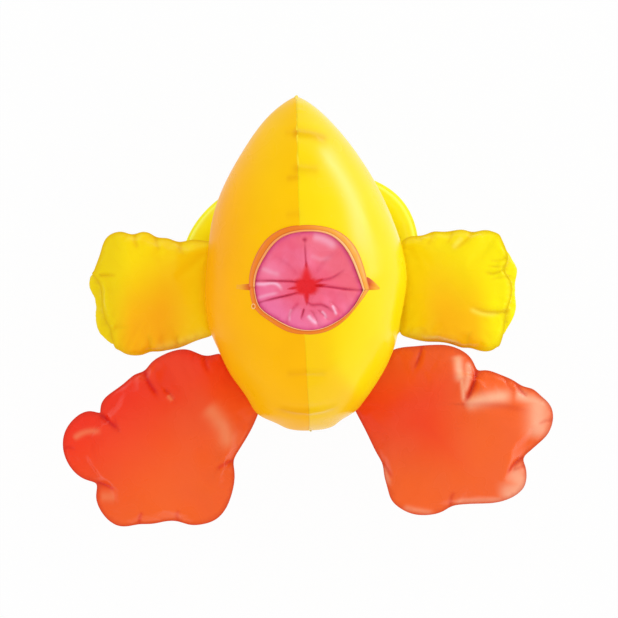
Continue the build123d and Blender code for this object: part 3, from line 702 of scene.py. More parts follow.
def cushion_skin(direction, material):
    """Upper or lower skin of the oval cushion, puckered along its outer seam."""
    columns, rows = 300, 48
    angles = around(columns)[None, :]
    slide = (1 - np.cos(np.linspace(0, math.pi, rows))[:, None]) / 2
    edge_x, edge_y = cushion_edge(angles, 2.6 * MM)
    turn = np.arctan2(edge_y, edge_x)
    hole_x, hole_y = CUSHION_HOLE_RADIUS * np.cos(turn), CUSHION_HOLE_RADIUS * np.sin(turn)
    x, y = hole_x + (edge_x - hole_x) * slide, hole_y + (edge_y - hole_y) * slide
    shape = (1 - np.abs(2 * slide - 1) ** 2.3) ** 0.5
    if direction > 0:
        # the upper skin is welded to the float round the hole, so it stays up against it
        shape = np.where(slide < 0.5, 1.0, shape)
    height = (CUSHION_HALF_HEIGHT - 0.6 * MM) * shape + 0.4 * MM
    step_x, step_y = (np.diff(edge, append=edge[:, :1]) for edge in (edge_x, edge_y))
    arc = np.cumsum(np.hypot(step_x, step_y))[None, :]
    pucker = round_waves(arc, (31, 0.3 + direction, 0.5), (43, 1.2, 0.4), (17, 2 + direction, 0.4),
                         turn=float(arc[0, -1]))
    rounding = np.clip(shape * 3, 0, 1)
    height = height + 1.1 * MM * pucker * np.exp(-(1 - slide) / 0.14) * rounding
    height = height + 0.5 * MM * pucker * np.exp(-slide / 0.1) * rounding
    z = CUSHION_SEAM_Z + direction * height
    if direction > 0:
        z = np.minimum(z, body_bottom(x, y) - 0.8 * MM)
    else:
        seat = FLANGE_TOP_Z + 0.3 * MM
        z = np.where(np.hypot(x, y) < COLLAR_HIGH[0] + 2 * MM, np.maximum(z, seat), z)
    blocks = [np.dstack((x, y, z))]
    for inset in (1.4 * MM, 0.1 * MM):
        blocks.append(np.dstack((*cushion_edge(angles, inset), z[-1:] + 0 * angles)))
    name = "cushion_top_skin" if direction > 0 else "cushion_bottom_skin"
    piece = make_sheet(name, np.concatenate(blocks, axis=0), material, close_columns=True,
                       flip=direction < 0)
    # Painted light along the outer edge, over the shade in the weld's hollow
    edge = np.r_[smoothstep(0.93, 0.985, slide[:, 0]), 1.0, 1.0]
    set_attribute(piece, "painted_light", np.repeat(edge, columns))
    close_sheet(piece, 0.35 * MM, offset=1)
    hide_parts("cushion_top_panel" if direction > 0 else "cushion_bottom_panel")


# ---------------------------------------------------------------- wings and feet

# Outlines from the upper end of the hinge line to its lower end: millimetres outwards, and
# towards the tail. NOTCHES are the corners where the weld is pinched in.
OUTLINES = {
    "left_wing": (
        (0, 1.5), (10.7, 2.6), (27.7, 2.6), (33.4, 0.4), (48.5, 6), (58, 5.1), (60.8, 8.8), (68.3, 11.7),
        (74.9, 11.3), (78.7, 7.9), (84, 8.3), (88.2, 11.3), (95.7, 11.7), (103.3, 9.4), (108.9, 4.1),
        (112.7, -7.2), (116.5, -18.6), (121.2, -31.8), (121.8, -39.3), (119.3, -50.7), (116.5, -63.9),
        (115.2, -79), (112.7, -86.6), (103.3, -97.9), (95.7, -106.4), (88.2, -111.5), (76.8, -112.8),
        (67.4, -111.1), (63.6, -107.3), (57.9, -109.2), (48.5, -107.7), (35.3, -105.4), (22.1, -99.8),
        (10.7, -95.6), (0, -93),
    ),
    "right_wing": (
        (0, 0), (8, 7.4), (15.4, 8.4), (26.3, 9.2), (32.5, 13.1), (41.8, 12.3), (52.7, 13.4), (68.3, 13.9),
        (72.5, 10.6), (80.7, 13.9), (90, 14.2), (96.3, 11.6), (100.9, 5.3), (105.6, -4), (110.2, -13.3),
        (114.4, -24.2), (115.2, -38.2), (115.2, -53.8), (114.2, -66.2), (110.2, -75.5), (105.6, -84.9),
        (100.9, -97.3), (96.3, -105.1), (90, -107.8), (82.3, -107.6), (76, -105.9), (69.8, -102.6),
        (63.6, -104.9), (58.9, -102.7), (52.7, -100.4), (41.8, -98.1), (29.4, -98.1), (18.5, -96.5),
        (7.6, -93.4), (0, -91),
    ),
    "left_foot": (
        (0, 0), (15.3, -3.9), (30.5, 2.5), (44.5, 2.2), (58.5, -3.2), (70.2, -11.3), (75.3, -20),
        (83, -20.7), (93.5, -28.8), (107.5, -39.3), (118, -48.7), (120.3, -56), (118.2, -63.2),
        (126.2, -58.7), (135.5, -59.2), (144.8, -65), (154.2, -76.7), (157.6, -89.5), (156, -102.3),
        (144.8, -121), (135.5, -127.3), (121.5, -130.2), (124.3, -146.7), (120.3, -157.2), (112.2, -167.7),
        (100.5, -174.2), (88.8, -173.5), (80.7, -171.4), (70.2, -171.9), (53.8, -168.8), (42.2, -168.8),
        (32.8, -172.3), (18.8, -172.3), (4.8, -167.7), (-4.5, -158.3), (-11.5, -142), (-14.3, -118),
        (-12.2, -108.2), (-23.2, -90.7), (-32.5, -74.3), (-40, -56),
    ),
    "right_foot": (
        (0, 0), (13.5, 3.3), (22.8, 3.8), (32.2, 4.8), (43.8, 5.4), (55.5, 5.3), (67.2, 1.8), (76.5, -3.7),
        (82.3, -10.7), (84.7, -16.5), (85.6, -22.4), (92.8, -19.5), (104.5, -22.3), (116.2, -27),
        (125.5, -31.7), (132.5, -36.8), (140.7, -37.5), (148.8, -44.5), (158.2, -52.7), (162.3, -62),
        (161.5, -73.7), (157, -84.2), (148.8, -92.3), (139.5, -100.5), (130.6, -107.6), (134.8, -115.7),
        (136, -125), (133.7, -136.7), (125.5, -144.8), (116.2, -149.5), (104.5, -152.5), (81.2, -153.5),
        (60.2, -155.3), (55.5, -159.5), (46.2, -163.5), (34.5, -165), (20.5, -163.5), (8.8, -157.7),
        (-0.5, -148.3), (-2.8, -139), (-6.3, -127.3), (-7.5, -113.3), (-12.2, -106.3), (-21.5, -87.7),
        (-28.5, -73.7), (-38, -56),
    ),
}
NOTCHES = {"left_wing": (9, 28), "right_wing": (8, 26), "left_foot": (6, 12, 21, 27, 37),
           "right_foot": (10, 24, 32, 41)}
# Folds in the film: line, depth of the groove, its half-width and how far one side laps the other
LIMB_FOLDS = {
    "left_wing": (
        (((112, -32.3), (104, -32.4), (95.7, -32.8)), 1.8, 1.9, 0.2),
        (((78.7, 8.5), (77.5, 0.5), (74, -6)), 1.7, 2.4, 0.4),
        (((58, 6), (56, -2), (52, -9)), 1.5, 2, -0.3),
        (((33.4, -0.5), (32, -7.5), (28, -13)), 1.3, 2.2, 0.3),
        (((63.6, -107.5), (62.5, -99.5), (66, -90)), 1.8, 2.6, 0.4),
        (((35.3, -105), (36, -97), (33, -91)), 1.1, 2.2, 0.2),
        (((99.5, -86), (90, -84), (82, -85.5)), 1, 2.4, -0.3),
    ),
    "right_wing": (
        (((72.5, 10.8), (65, 2.5), (54, -6)), 1.8, 2.4, 0.9),
        (((105.5, -14), (97.5, -17), (89, -16)), 1.1, 1.5, 0.3),
        (((103.5, -22.5), (96, -23), (87, -22)), 1.2, 1.4, -0.3),
        (((101.7, -26.5), (93, -29.5), (84, -28.5)), 1.6, 1.6, 0.6),
        (((107, -33.5), (98, -34), (89, -36.5)), 0.9, 1.6, -0.2),
        (((108, -67), (95, -68), (82, -66.5), (70.6, -62.5)), 2.2, 2.2, 1),
        (((69.8, -104), (68, -95), (72, -86)), 1.6, 2.6, -0.4),
        (((33, 12.5), (31, 4), (26, -2.5)), 1.2, 2.2, 0.3),
        (((52.7, 13), (50, 4.5), (45, -1)), 1.1, 2, -0.3),
    ),
    "left_foot": (
        (((75.3, -19.5), (71, -30), (60.5, -43.5)), 3.2, 2.8, 1.3),
        (((53.5, -38.5), (49, -42.5), (44.5, -48.5)), 1.6, 2, 0.9),
        (((118.4, -63.2), (109.5, -69.5), (100.5, -77)), 3.6, 2.6, -1.4),
        (((100.5, -77), (103.5, -68), (104.5, -62.5)), 1.2, 1.8, 0.4),
        (((121.5, -130.3), (113, -132.5), (103.5, -137.5)), 2.4, 2, 0.8),
        (((80.7, -171.5), (80, -164.5), (76.5, -158)), 1.8, 2.2, 0.5),
        (((-12.2, -108.2), (-5, -111), (4, -117)), 2, 2.4, 0.5),
        (((15.3, -4.5), (14.5, -12), (10.5, -20)), 1.6, 2.2, 0.4),
        (((156.5, -96), (150, -95), (143, -97.5)), 1.2, 2, -0.3),
        (((42, -168.5), (43, -162), (40, -156)), 1.2, 2.4, 0.3),
    ),
    "right_foot": (
        (((85.6, -22), (80.5, -37), (73, -53.4)), 4.4, 3, 1.6),
        (((73, -53.4), (97, -54), (121, -57), (141, -62)), 0.8, 3.6, -1.3),
        (((31.5, 4.5), (28.7, -6), (22.8, -20)), 2.4, 2, 1),
        (((126, -32.5), (129, -40), (137.5, -46.5)), 2.2, 2, 1),
        (((113.5, -27), (117, -35), (124, -42)), 1, 2, 0.5),
        (((130.9, -107.6), (123, -113), (115.5, -123)), 2.8, 2.4, 1),
        (((134.5, -115), (127, -117.5), (120, -119.5)), 1.2, 1.8, -0.4),
        (((-7.5, -113), (-2, -120), (1, -128)), 1.6, 2, -0.5),
        (((60.2, -155.3), (60, -147), (64, -140)), 1.6, 2.4, 0.4),
        (((161.5, -70), (153, -71), (146, -75)), 1.2, 2.2, 0.3),
    ),
}
# Painted highlights beside the folds: line, half-width and amount
LIMB_PAINTED_HIGHLIGHTS = {
    "left_wing": ((((60, -106), (35.3, -102), (22.1, -96.5), (3, -90.5)), 4.5, 0.55),),
    "right_wing": (
        (((62.7, 7), (51.8, -5.6)), 2.4, 0.6), (((68.9, -64.7), (81.4, -69.3), (101.6, -69.3)), 2.2, 0.5),
        (((60, -99), (29.4, -94), (5, -89)), 4.5, 0.25),
    ),
    "left_foot": (
        (((51.6, -42.4), (46.1, -48)), 2.2, 0.7), (((147.2, -86.9), (136.1, -80.2), (116.1, -79)), 3, 0.45),
        (((104, -144), (121, -144)), 5, 0.35), (((14, -52), (-4, -76), (-9.5, -101)), 8.5, 0.6),
    ),
    "right_foot": (
        (((66, -4), (70, -34)), 4.8, 0.95), (((70, -26), (73, -54)), 2.2, 0.8),
        (((77, -10), (76.5, -26), (72, -46)), 3.6, 0.75),
        (((71, -54), (104, -46.5), (125, -45)), 6.5, 0.95), (((122, -43), (161, -57)), 5.5, 0.85),
        (((147, -46), (147, -92)), 12, 0.8), (((118, -118), (131, -134), (104, -146)), 11, 0.75),
        (((62, -151), (123, -149)), 3, 0.5), (((-7.5, -115), (-1, -136)), 2.5, 0.5),
        (((11, -157), (46, -163.5)), 3, 0.4),
    ),
}
# The wings' weld leaves the outline at their outer ends, where the back panel swells past it
TIP_WELDS = {
    "left_wing": ((120.6, -31), (114.5, -36), (111.2, -43), (109.9, -56.3), (105.9, -76), (102, -83.5),
                  (100.4, -93.5), (97, -104.5)),
    "right_wing": ((98.5, 9), (104.3, -4.5), (106.2, -17.5), (102.6, -26), (107.8, -34.5), (108.6, -56.9),
                   (104.8, -68.5), (103.3, -83.3), (98.4, -101.5)),
}
ROOTS = {"left_wing": (-0.090, 0.021), "right_wing": (0.096, 0.020),
         "left_foot": (-0.083, -0.088), "right_foot": (0.087, -0.086)}
# Width of the flat weld round a limb
FLANGE = 2.2 * MM
# Distance between points of a limb's mesh, how much larger its sheets are cut than the limb, how far
# each sheet starts from the seam's plane, and how many frames it takes to blow them up
LIMB_STEP, CUT_LARGER, SHEET_GAP, CLOTH_FRAMES = 3.8 * MM, 1.08, 0.0015, 26
CLOTH = {
    "quality": 8, "mass": 0.3, "tension_stiffness": 60, "compression_stiffness": 20, "shear_stiffness": 20,
    "bending_stiffness": 0.4, "tension_damping": 5, "compression_damping": 5, "shear_damping": 5,
    "use_pressure": True, "uniform_pressure_force": 4,
}


def in_place(name, points):
    """Points given outwards and tailwards from a limb's root, in the object's frame."""
    root_x, root_y = ROOTS[name]
    return np.c_[root_x + math.copysign(1.0, root_x) * points[:, 0], root_y + points[:, 1]]


def limb_outline(name, step):
    """Closed outline of a limb in metres, smooth between its notches, and straight along the hinge."""
    corners = np.array(OUTLINES[name]) * MM
    stops = (0, *NOTCHES[name], len(corners) - 1)
    outline = []
    for first, last in zip(stops[:-1], stops[1:]):
        run = corners[first:last + 1]
        outline.append(spline(run, max(3, round(arc_length(run)[-1] / step) + 1))[:-1])
    hinge_length = np.linalg.norm(corners[-1] - corners[0])
    count = max(2, round(hinge_length / step))
    outline.append(corners[-1] + (corners[0] - corners[-1]) * (np.arange(count) / count)[:, None])
    return in_place(name, np.vstack(outline))


def limb_line(name, points):
    """A line given like the outlines, in the object's frame."""
    return in_place(name, np.array(points) * MM)


def inset_outline(outline, distance):
    """The outline moved inwards, with its corners eased."""
    before, after = np.roll(outline, 1, axis=0), np.roll(outline, -1, axis=0)
    run = unit(after - before)
    normal = np.c_[-run[:, 1], run[:, 0]]
    area = np.sum(outline[:, 0] * after[:, 1] - after[:, 0] * outline[:, 1])
    return ease(outline + normal * distance * (1 if area > 0 else -1), 2)


def inner_points(outline, step):
    """Triangular lattice of points inside an outline."""
    low, high = outline.min(0), outline.max(0)
    lattice = []
    for row in range(int((high[1] - low[1]) / (step * 0.866)) + 2):
        for column in range(int((high[0] - low[0]) / step) + 2):
            lattice.append((low[0] + (column + 0.5 * (row % 2)) * step, low[1] + row * step * 0.866))
    lattice = np.array(lattice)
    inside, gap = np.zeros(len(lattice), bool), np.full(len(lattice), 1e9)
    for a, b in zip(outline, np.roll(outline, -1, axis=0)):
        crosses = (a[1] > lattice[:, 1]) != (b[1] > lattice[:, 1])
        rise = b[1] - a[1] if b[1] != a[1] else 1e-12
        inside ^= crosses & (lattice[:, 0] < (b[0] - a[0]) * (lattice[:, 1] - a[1]) / rise + a[0])
        run = b - a
        t = np.clip((lattice - a) @ run / (run @ run), 0, 1)
        gap = np.minimum(gap, np.hypot(*(lattice - a - t[:, None] * run).T))
    keep = inside & (gap > 0.55 * step)
    return lattice[keep], gap[keep]


def cloth_pillow(outline):
    """Blows up two flat sheets welded along an outline. Returns vertices, front faces and back faces."""
    count = len(outline)
    step = float(np.median(np.linalg.norm(np.diff(outline, axis=0), axis=1)))
    lattice, gap = inner_points(outline, step)
    flat = [Vector(point) for point in (*outline, *lattice)]
    edges = [(i, (i + 1) % count) for i in range(count)]
    _, _, triangles, origins, _, _ = delaunay_2d_cdt(flat, edges, [], 1, 1e-9)
    # the triangulation puts the points in an order of its own
    own = [min(origin, default=-1) for origin in origins]
    front = [tuple(own[i] for i in triangle) for triangle in triangles]
    total = len(flat)
    xy = np.array([tuple(point) for point in flat])
    verts = [(x, y, 0.0 if i < count else SHEET_GAP) for i, (x, y) in enumerate(xy)]
    verts += [(x, y, -SHEET_GAP) for x, y in xy[count:]]
    back = [tuple(i if i < count else total + i - count for i in triangle[::-1]) for triangle in front]
    pillow = make_piece("pillow", verts, front + back, None, None)
    face_outwards(pillow)
    cloth = add_modifier(pillow, "CLOTH")
    for setting, value in CLOTH.items():
        setattr(cloth.settings, setting, value)
    cloth.settings.effector_weights.gravity = 0
    cloth.point_cache.frame_end = CLOTH_FRAMES + 1
    for number in range(1, CLOTH_FRAMES + 1):
        bpy.context.scene.frame_set(number)
    shaped = pillow.evaluated_get(bpy.context.evaluated_depsgraph_get())
    result = np.array([tuple(v.co) for v in shaped.data.vertices])
    bpy.context.scene.frame_set(1)
    bpy.data.objects.remove(pillow)
    return result, front, back


def follow_edge(points, edge, pull):
    """For each point: its nearest edge point, how far off that is, and how far the edge's pull moves it."""
    near, away, moved = np.zeros(len(points), int), np.zeros(len(points)), np.zeros((len(points), 2))
    for start in range(0, len(points), 500):
        part = slice(start, start + 500)
        offset = points[part, None] - edge[None]
        distance = np.linalg.norm(offset, axis=2)
        near[part], away[part] = distance.argmin(1), distance.min(1)
        weight = 1 / (np.sum(offset ** 2, axis=2) + 1e-7) ** 1.2
        moved[part] = (weight @ pull) / weight.sum(1, keepdims=True)
    return near, away, moved


def refine(piece):
    """Bakes one level of subdivision into a piece's mesh."""
    subdivision = smooth_piece(piece)
    shaped = piece.evaluated_get(bpy.context.evaluated_depsgraph_get())
    mesh = bpy.data.meshes.new_from_object(shaped)
    piece.modifiers.remove(subdivision)
    piece.data = mesh


def fold_film(piece, name, seam_z):
    """Presses a limb's folds into its film, and marks painted shade along them and painted highlights
    beside them.
    """
    mesh = piece.data
    points = np.empty(len(mesh.vertices) * 3)
    mesh.vertices.foreach_get("co", points)
    points = points.reshape(-1, 3)
    x, y, stand = points[:, 0], points[:, 1], points[:, 2] - seam_z
    side = np.sign(stand)
    marks = []
    for line, depth, width, lap in LIMB_FOLDS[name]:
        path = limb_line(name, line)
        gap, along = line_distance(x, y, spline(path, 16))
        marks.append((path, 0.8 * width, min(1.0, depth / 3.4)))
        ends = 1 - 0.85 * smoothstep(0.45, 1.0, along)
        # a fold fades out where the film has no height to give it
        room = np.clip(np.abs(stand) / (depth * MM * 1.6), 0, 1)
        points[:, 2] += side * ends * room * fold_shape(gap, depth, width, lap, (0.35, 2.8, 1.8), 0.6, 4)
    mesh.vertices.foreach_set("co", points.ravel())
    mesh.update()
    # Painted shade along the folds, darker for a deeper fold
    set_attribute(piece, "crease_shade", tone(x, y, marks, open_start=True))
    # Painted highlights beside the folds
    set_attribute(piece, "painted_light", tone(x, y, [(limb_line(name, line), width, amount)
                                                  for line, width, amount in LIMB_PAINTED_HIGHLIGHTS[name]]))


def tip_weld(name, outline, weld):
    """The weld, taken inside a wing's outer end, and how far each point of it moved."""
    final, tuck = weld.copy(), np.zeros(len(weld))
    if name in TIP_WELDS:
        tip_line = spline(limb_line(name, TIP_WELDS[name]), 400)
        first, last = (np.linalg.norm(outline - tip_line[end], axis=1).argmin() for end in (0, -1))
        part = slice(first, last + 1)
        length = arc_length(outline[part])
        final[part] = tip_line[np.round(399 * length / length[-1]).astype(int)]
        tuck[part] = np.linalg.norm(final[part] - outline[part], axis=1)
    return final, ease(tuck, 3)


def limb_skin(name, material):
    """Inflated wing or foot, pulled back onto its outline, with a flat weld round its edge."""
    front_low, front_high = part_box(name + "_front_panel")
    seam_z, room = front_low[2], front_high[2] - front_low[2]
    outline = limb_outline(name, LIMB_STEP)
    weld = inset_outline(outline, FLANGE)
    final, tuck = tip_weld(name, outline, weld)
    outward = unit(ease(unit(outline - weld), 3))
    count, centre = len(weld), weld.mean(0)
    shape, front, back = cloth_pillow(centre + (weld - centre) * CUT_LARGER)
    near, away, moved = follow_edge(shape[:, :2], shape[:count, :2], final - shape[:count, :2])
    shape[:, :2] += moved
    shape[:count, :2] = final
    thickness = np.percentile(np.abs(shape[:, 2]), 99.5)
    shape[:, 2] *= room / max(thickness, 1e-6) * 0.97
    side = np.sign(shape[:, 2])
    side[:count] = 0
    # Puckers that run in from the weld
    pucker = waves(arc_length(final), ((0.0127, 0.4, 0.45), (0.0191, 1.9, 0.5), (0.0083, 3.0, 0.25),
                                       (0.041, 0.8, 0.4)))
    shape[:, 2] += side * MM * pucker[near] * np.exp(-away / (8 * MM)) * smoothstep(0, 2.5 * MM, away)
    # The back panel swells past the weld at a wing's outer end, out to the outline
    bulge = smoothstep(0, 6 * MM, away) * (1 - smoothstep(8 * MM, 24 * MM, away))
    bulge *= np.clip(tuck[near] / (3 * MM), 0, 1) * (side < 0)
    swell = (away + tuck[near] + 1.5 * MM) * bulge
    shape[:, :2] += outward[near] * swell[:, None]
    shape[:, 2] += 0.5 * tuck[near] * np.exp(-(away / (9 * MM)) ** 2)
    film = 0.25 * MM
    verts = shape.copy()
    verts[:count, 2] += film
    verts[count:, 2] += np.sign(side[count:]) * film
    edge = final + outward * FLANGE
    total = len(verts)
    level = shape[:count, 2] + 0.5 * MM * pucker
    verts = np.vstack((verts, np.c_[final, shape[:count, 2] - film], np.c_[edge, level + film * 0.8],
                       np.c_[edge, level - film * 0.8]))
    verts[:, 2] += seam_z
    # the back sheet has its own edge, and the flange runs from the front edge round to it
    faces = front + [tuple(total + i if i < count else i for i in triangle) for triangle in back]
    rings = (0, total + count, total + 2 * count, total)
    for i in range(count):
        j = (i + 1) % count
        faces += [(first + i, first + j, then + j, then + i) for first, then in zip(rings[:-1], rings[1:])]
    piece = make_piece(name + "_skin", verts, faces, material, name)
    face_outwards(piece)
    welded = np.zeros(len(verts))
    welded[total:] = 1.0
    welded[:count] = 0.4
    set_attribute(piece, "weld", welded)
    refine(piece)
    fold_film(piece, name, seam_z)
    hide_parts(name + "_front_panel", name + "_back_panel")


# Strips that join the limbs on: step and limit of the search for the float's flank, how far they go in
# under it, the longest they get, and how far they lap onto the limb
STRIP_STEP, STRIP_SEARCH, STRIP_TUCK, STRIP_LONGEST, STRIP_OVERLAP = 0.001, 0.045, 0.003, 0.04, 0.0015


def limb_gusset(name, material):
    """Flat strip of film that joins a limb to the body's flank."""
    root, tip = np.array(ROOTS[name]), limb_line(name, OUTLINES[name][-1:])[0]
    run = unit(tip - root)
    outward = np.array((-run[1], run[0]))
    if outward[0] * root[0] < 0:
        outward = -outward
    seam_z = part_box(name + "_front_panel")[0][2]
    columns, rows = 40, 12
    grid = np.zeros((columns, rows, 3))
    for column in range(columns):
        share = column / (columns - 1)
        hinge = root + (tip - root) * (0.05 + 0.9 * share)
        # from just outside the hinge, in to where the float's flank has come down over the strip
        reach = 0.0
        while reach < STRIP_SEARCH and body_bottom(*(hinge - outward * reach)) > seam_z - STRIP_STEP:
            reach += STRIP_STEP
        inner = hinge - outward * min(reach + STRIP_TUCK, STRIP_LONGEST)
        outer = hinge + outward * STRIP_OVERLAP
        for row in range(rows):
            level = row / (rows - 1)
            x, y = inner + (outer - inner) * level
            sag = 0.7 * MM * math.sin(math.pi * level) * math.sin(19 * share + 2 * level)
            grid[column, row] = x, y, seam_z + sag
    piece = make_sheet(name + "_gusset", grid, material, None)
    set_attribute(piece, "weld", np.full(columns * rows, 0.5))
    close_sheet(piece, 0.6 * MM)
    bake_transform(piece)
    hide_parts(name + "_web")


# ---------------------------------------------------------------- materials

def srgb(red, green, blue):
    """Linear colour from 0-255 sRGB values."""
    def linear(value):
        value /= 255
        return value / 12.92 if value <= 0.04045 else ((value + 0.055) / 1.055) ** 2.4
    return (linear(red), linear(green), linear(blue), 1.0)


class Nodes:
    """Short calls for building the nodes of a material or a world."""

    def __init__(self, name, kind="materials", shader="Principled BSDF"):
        self.owner = getattr(bpy.data, kind).new(name)
        self.owner.use_nodes = True
        self.tree = self.owner.node_tree
        self.shader = self.tree.nodes[shader]
        self.places = self.tree.nodes.new("ShaderNodeTexCoord").outputs

    def put(self, socket, value):
        """Gives a socket a value or a link. Three numbers for a colour are 0-255 sRGB."""
        if isinstance(value, bpy.types.NodeSocket):
            self.tree.links.new(value, socket)
        elif socket.type == "RGBA" and len(value) == 3:
            socket.default_value = srgb(*value)
        else:
            socket.default_value = value

    def new(self, kind, inputs, **settings):
        node = self.tree.nodes.new(kind)
        for key, value in settings.items():
            setattr(node, key, value)
        for key, value in inputs.items():
            self.put(node.inputs[key], value)
        return node

    def noise(self, scale, detail=2, rough=0.5):
        return self.new("ShaderNodeTexNoise", {"Vector": self.places["Object"], "Scale": scale,
                                               "Detail": detail, "Roughness": rough}).outputs["Fac"]

    def bands(self, scale, distortion, direction):
        return self.new("ShaderNodeTexWave", {"Vector": self.places["Object"], "Scale": scale,
                                              "Distortion": distortion},
                        wave_type="BANDS", bands_direction=direction).outputs["Fac"]

    def remap(self, value, low, high, to_low=0, to_high=1):
        """Goes smoothly from one result to another as a value goes from low to high."""
        return self.new("ShaderNodeMapRange", {"Value": value, "From Min": low, "From Max": high,
                                               "To Min": to_low, "To Max": to_high},
                        interpolation_type="SMOOTHSTEP").outputs["Result"]

    def mix(self, share, first, second, blend="MIX"):
        return self.new("ShaderNodeMix", {0: share, 6: first, 7: second}, data_type="RGBA",
                        blend_type=blend).outputs[2]

    def math(self, operation, first, second=0):
        return self.new("ShaderNodeMath", {0: first, 1: second}, operation=operation).outputs[0]

    def attribute(self, name):
        return self.new("ShaderNodeAttribute", {}, attribute_name=name).outputs["Fac"]

    def tint(self, colour, mask, amount, target):
        """The colour moved towards another, as far as a mask times an amount."""
        return self.mix(self.math("MULTIPLY", mask, amount), colour, target)

    def axis(self, x, y):
        """Distance in metres along a direction seen from above."""
        return self.new("ShaderNodeVectorMath", {0: self.places["Object"], 1: (x, y, 0)},
                        operation="DOT_PRODUCT").outputs["Value"]

    def ramp(self, x, y, low, high, to_low=0, to_high=1):
        """Remaps the distance along a direction."""
        return self.remap(self.axis(x, y), low, high, to_low, to_high)

    def bump(self, height, strength, distance):
        node = self.new("ShaderNodeBump", {"Height": height, "Strength": strength, "Distance": distance})
        self.put(self.shader.inputs["Normal"], node.outputs["Normal"])

    def finish(self, colour, roughness, specular=0.3):
        sockets = {"Base Color": colour, "Roughness": roughness, "Specular IOR Level": specular}
        for name, value in sockets.items():
            self.put(self.shader.inputs[name], value)
        return self.owner


def vinyl_surface(nodes, colour, rough=0.3, specular=0.3, weld_tint=None, fold_shade_tint=None, painted_light_tint=None):
    """Glossy film: slow drift and soft unevenness, with painted shade for its folds, painted light for its
    highlights and a tint for its weld.
    """
    drift = nodes.remap(nodes.noise(9, 3, 0.55), 0.3, 0.7)
    darker = nodes.mix(0.10, colour, (0.55, 0.20, 0, 1), "MULTIPLY")
    colour = nodes.mix(drift, darker, colour)
    # Painted light: highlights, and at the cushion's edge light laid over its shade
    if painted_light_tint:
        colour = nodes.mix(nodes.attribute("painted_light"), colour, painted_light_tint)
    # Painted shade in the folds
    if fold_shade_tint:
        colour = nodes.mix(nodes.attribute("crease_shade"), colour, fold_shade_tint)
    roughness = nodes.remap(nodes.noise(24), 0.25, 0.75, rough - 0.05, rough + 0.07)
    height = nodes.math("ADD", nodes.noise(38, 3), nodes.math("MULTIPLY", nodes.noise(420, 2, 0.6), 0.05))
    if weld_tint:
        weld = nodes.attribute("weld")
        colour = nodes.tint(colour, weld, 0.6, weld_tint)
        ribs = nodes.math("MULTIPLY", nodes.bands(260, 0, "DIAGONAL"), weld)
        height = nodes.math("ADD", height, nodes.math("MULTIPLY", ribs, 0.25))
    nodes.bump(height, 0.12, 0.002)
    return nodes.finish(colour, roughness, specular)


# Painted shade: the whole left half is painted a deeper orange than the right, being away from the lamps,
# and deepest towards its outer flank.
def body_left_vinyl():
    nodes = Nodes("yellow_vinyl_left_half")
    colour = nodes.mix(nodes.ramp(0.25, 1, -0.10, 0.09), (253, 186, 6), (253, 200, 4))
    colour = nodes.tint(colour, nodes.ramp(-1, 0.1, 0.035, 0.095), 0.75, (253, 166, 6))
    return vinyl_surface(nodes, colour, specular=0.05, fold_shade_tint=(226, 150, 6))


def body_right_vinyl():
    nodes = Nodes("yellow_vinyl_right_half")
    # Painted light and shade: the lit part, towards the tail and out on the flank, is lemon; low down near
    # the seam it is painted golden as shade, and the lemon is painted darker towards the seam as shade.
    outer = nodes.math("MULTIPLY", nodes.ramp(1, 0, 0.010, 0.042), nodes.ramp(1.1, 1, -0.085, -0.055))
    lit = nodes.math("MAXIMUM", nodes.ramp(0, 1, -0.078, -0.058), outer)
    lemon = nodes.mix(nodes.ramp(1, 0.12, 0.012, 0.05), (248, 216, 4), (250, 224, 6))
    return vinyl_surface(nodes, nodes.mix(lit, (251, 202, 4), lemon), 0.22, specular=0.16,
                         fold_shade_tint=(232, 182, 6), painted_light_tint=(252, 230, 124))


def cushion_vinyl():
    nodes = Nodes("yellow_vinyl_cushion")
    # The left side is painted brighter than the right: painted light against the float's shade over it
    colour = nodes.mix(nodes.ramp(1, 0, -0.06, 0.06), (252, 232, 2), (246, 230, 6))
    colour = nodes.tint(colour, nodes.remap(nodes.noise(7), 0.35, 0.65), 0.3, (250, 222, 8))
    return vinyl_surface(nodes, colour, specular=0.05, painted_light_tint=(255, 250, 60))


def wing_vinyl(name, top, low, tip, side):
    """Wing film: warmer towards body and head, painted paler at the root as painted light against the
    float's shade, one more colour past the tip's weld.
    """
    nodes = Nodes(name)
    colour = nodes.mix(nodes.ramp(-0.5 * side, -1, -0.095, -0.015), top, low)
    colour = nodes.mix(nodes.ramp(side, 0, 0.168, 0.196), colour, tip)
    # Painted light at the root, against the shade the float casts on it
    colour = nodes.tint(colour, nodes.ramp(side, 0, 0.145, 0.103), 0.85, (255, 232, 20))
    # Tints for the weld, the painted shade in folds and the painted highlights
    return vinyl_surface(nodes, colour, 0.27, 0.1, (216, 168, 8), (234, 180, 8), (254, 236, 96))


def foot_vinyl(nodes, colour, patch_tint, specular, *tints):
    """Foot film: blotches of one more colour over its own."""
    colour = nodes.tint(colour, nodes.remap(nodes.noise(12), 0.45, 0.7), 0.3, patch_tint)
    # The tints are for the weld, the painted shade in folds and the painted highlights
    return vinyl_surface(nodes, colour, 0.27, specular, *tints)


def left_foot_vinyl():
    nodes = Nodes("orange_vinyl_left_foot")
    colour = nodes.mix(nodes.ramp(0.6, -0.8, -0.025, 0.115), (246, 48, 26), (247, 98, 32))
    return foot_vinyl(nodes, colour, (243, 92, 46), 0.26, (196, 46, 18), (222, 30, 26), (245, 152, 104))


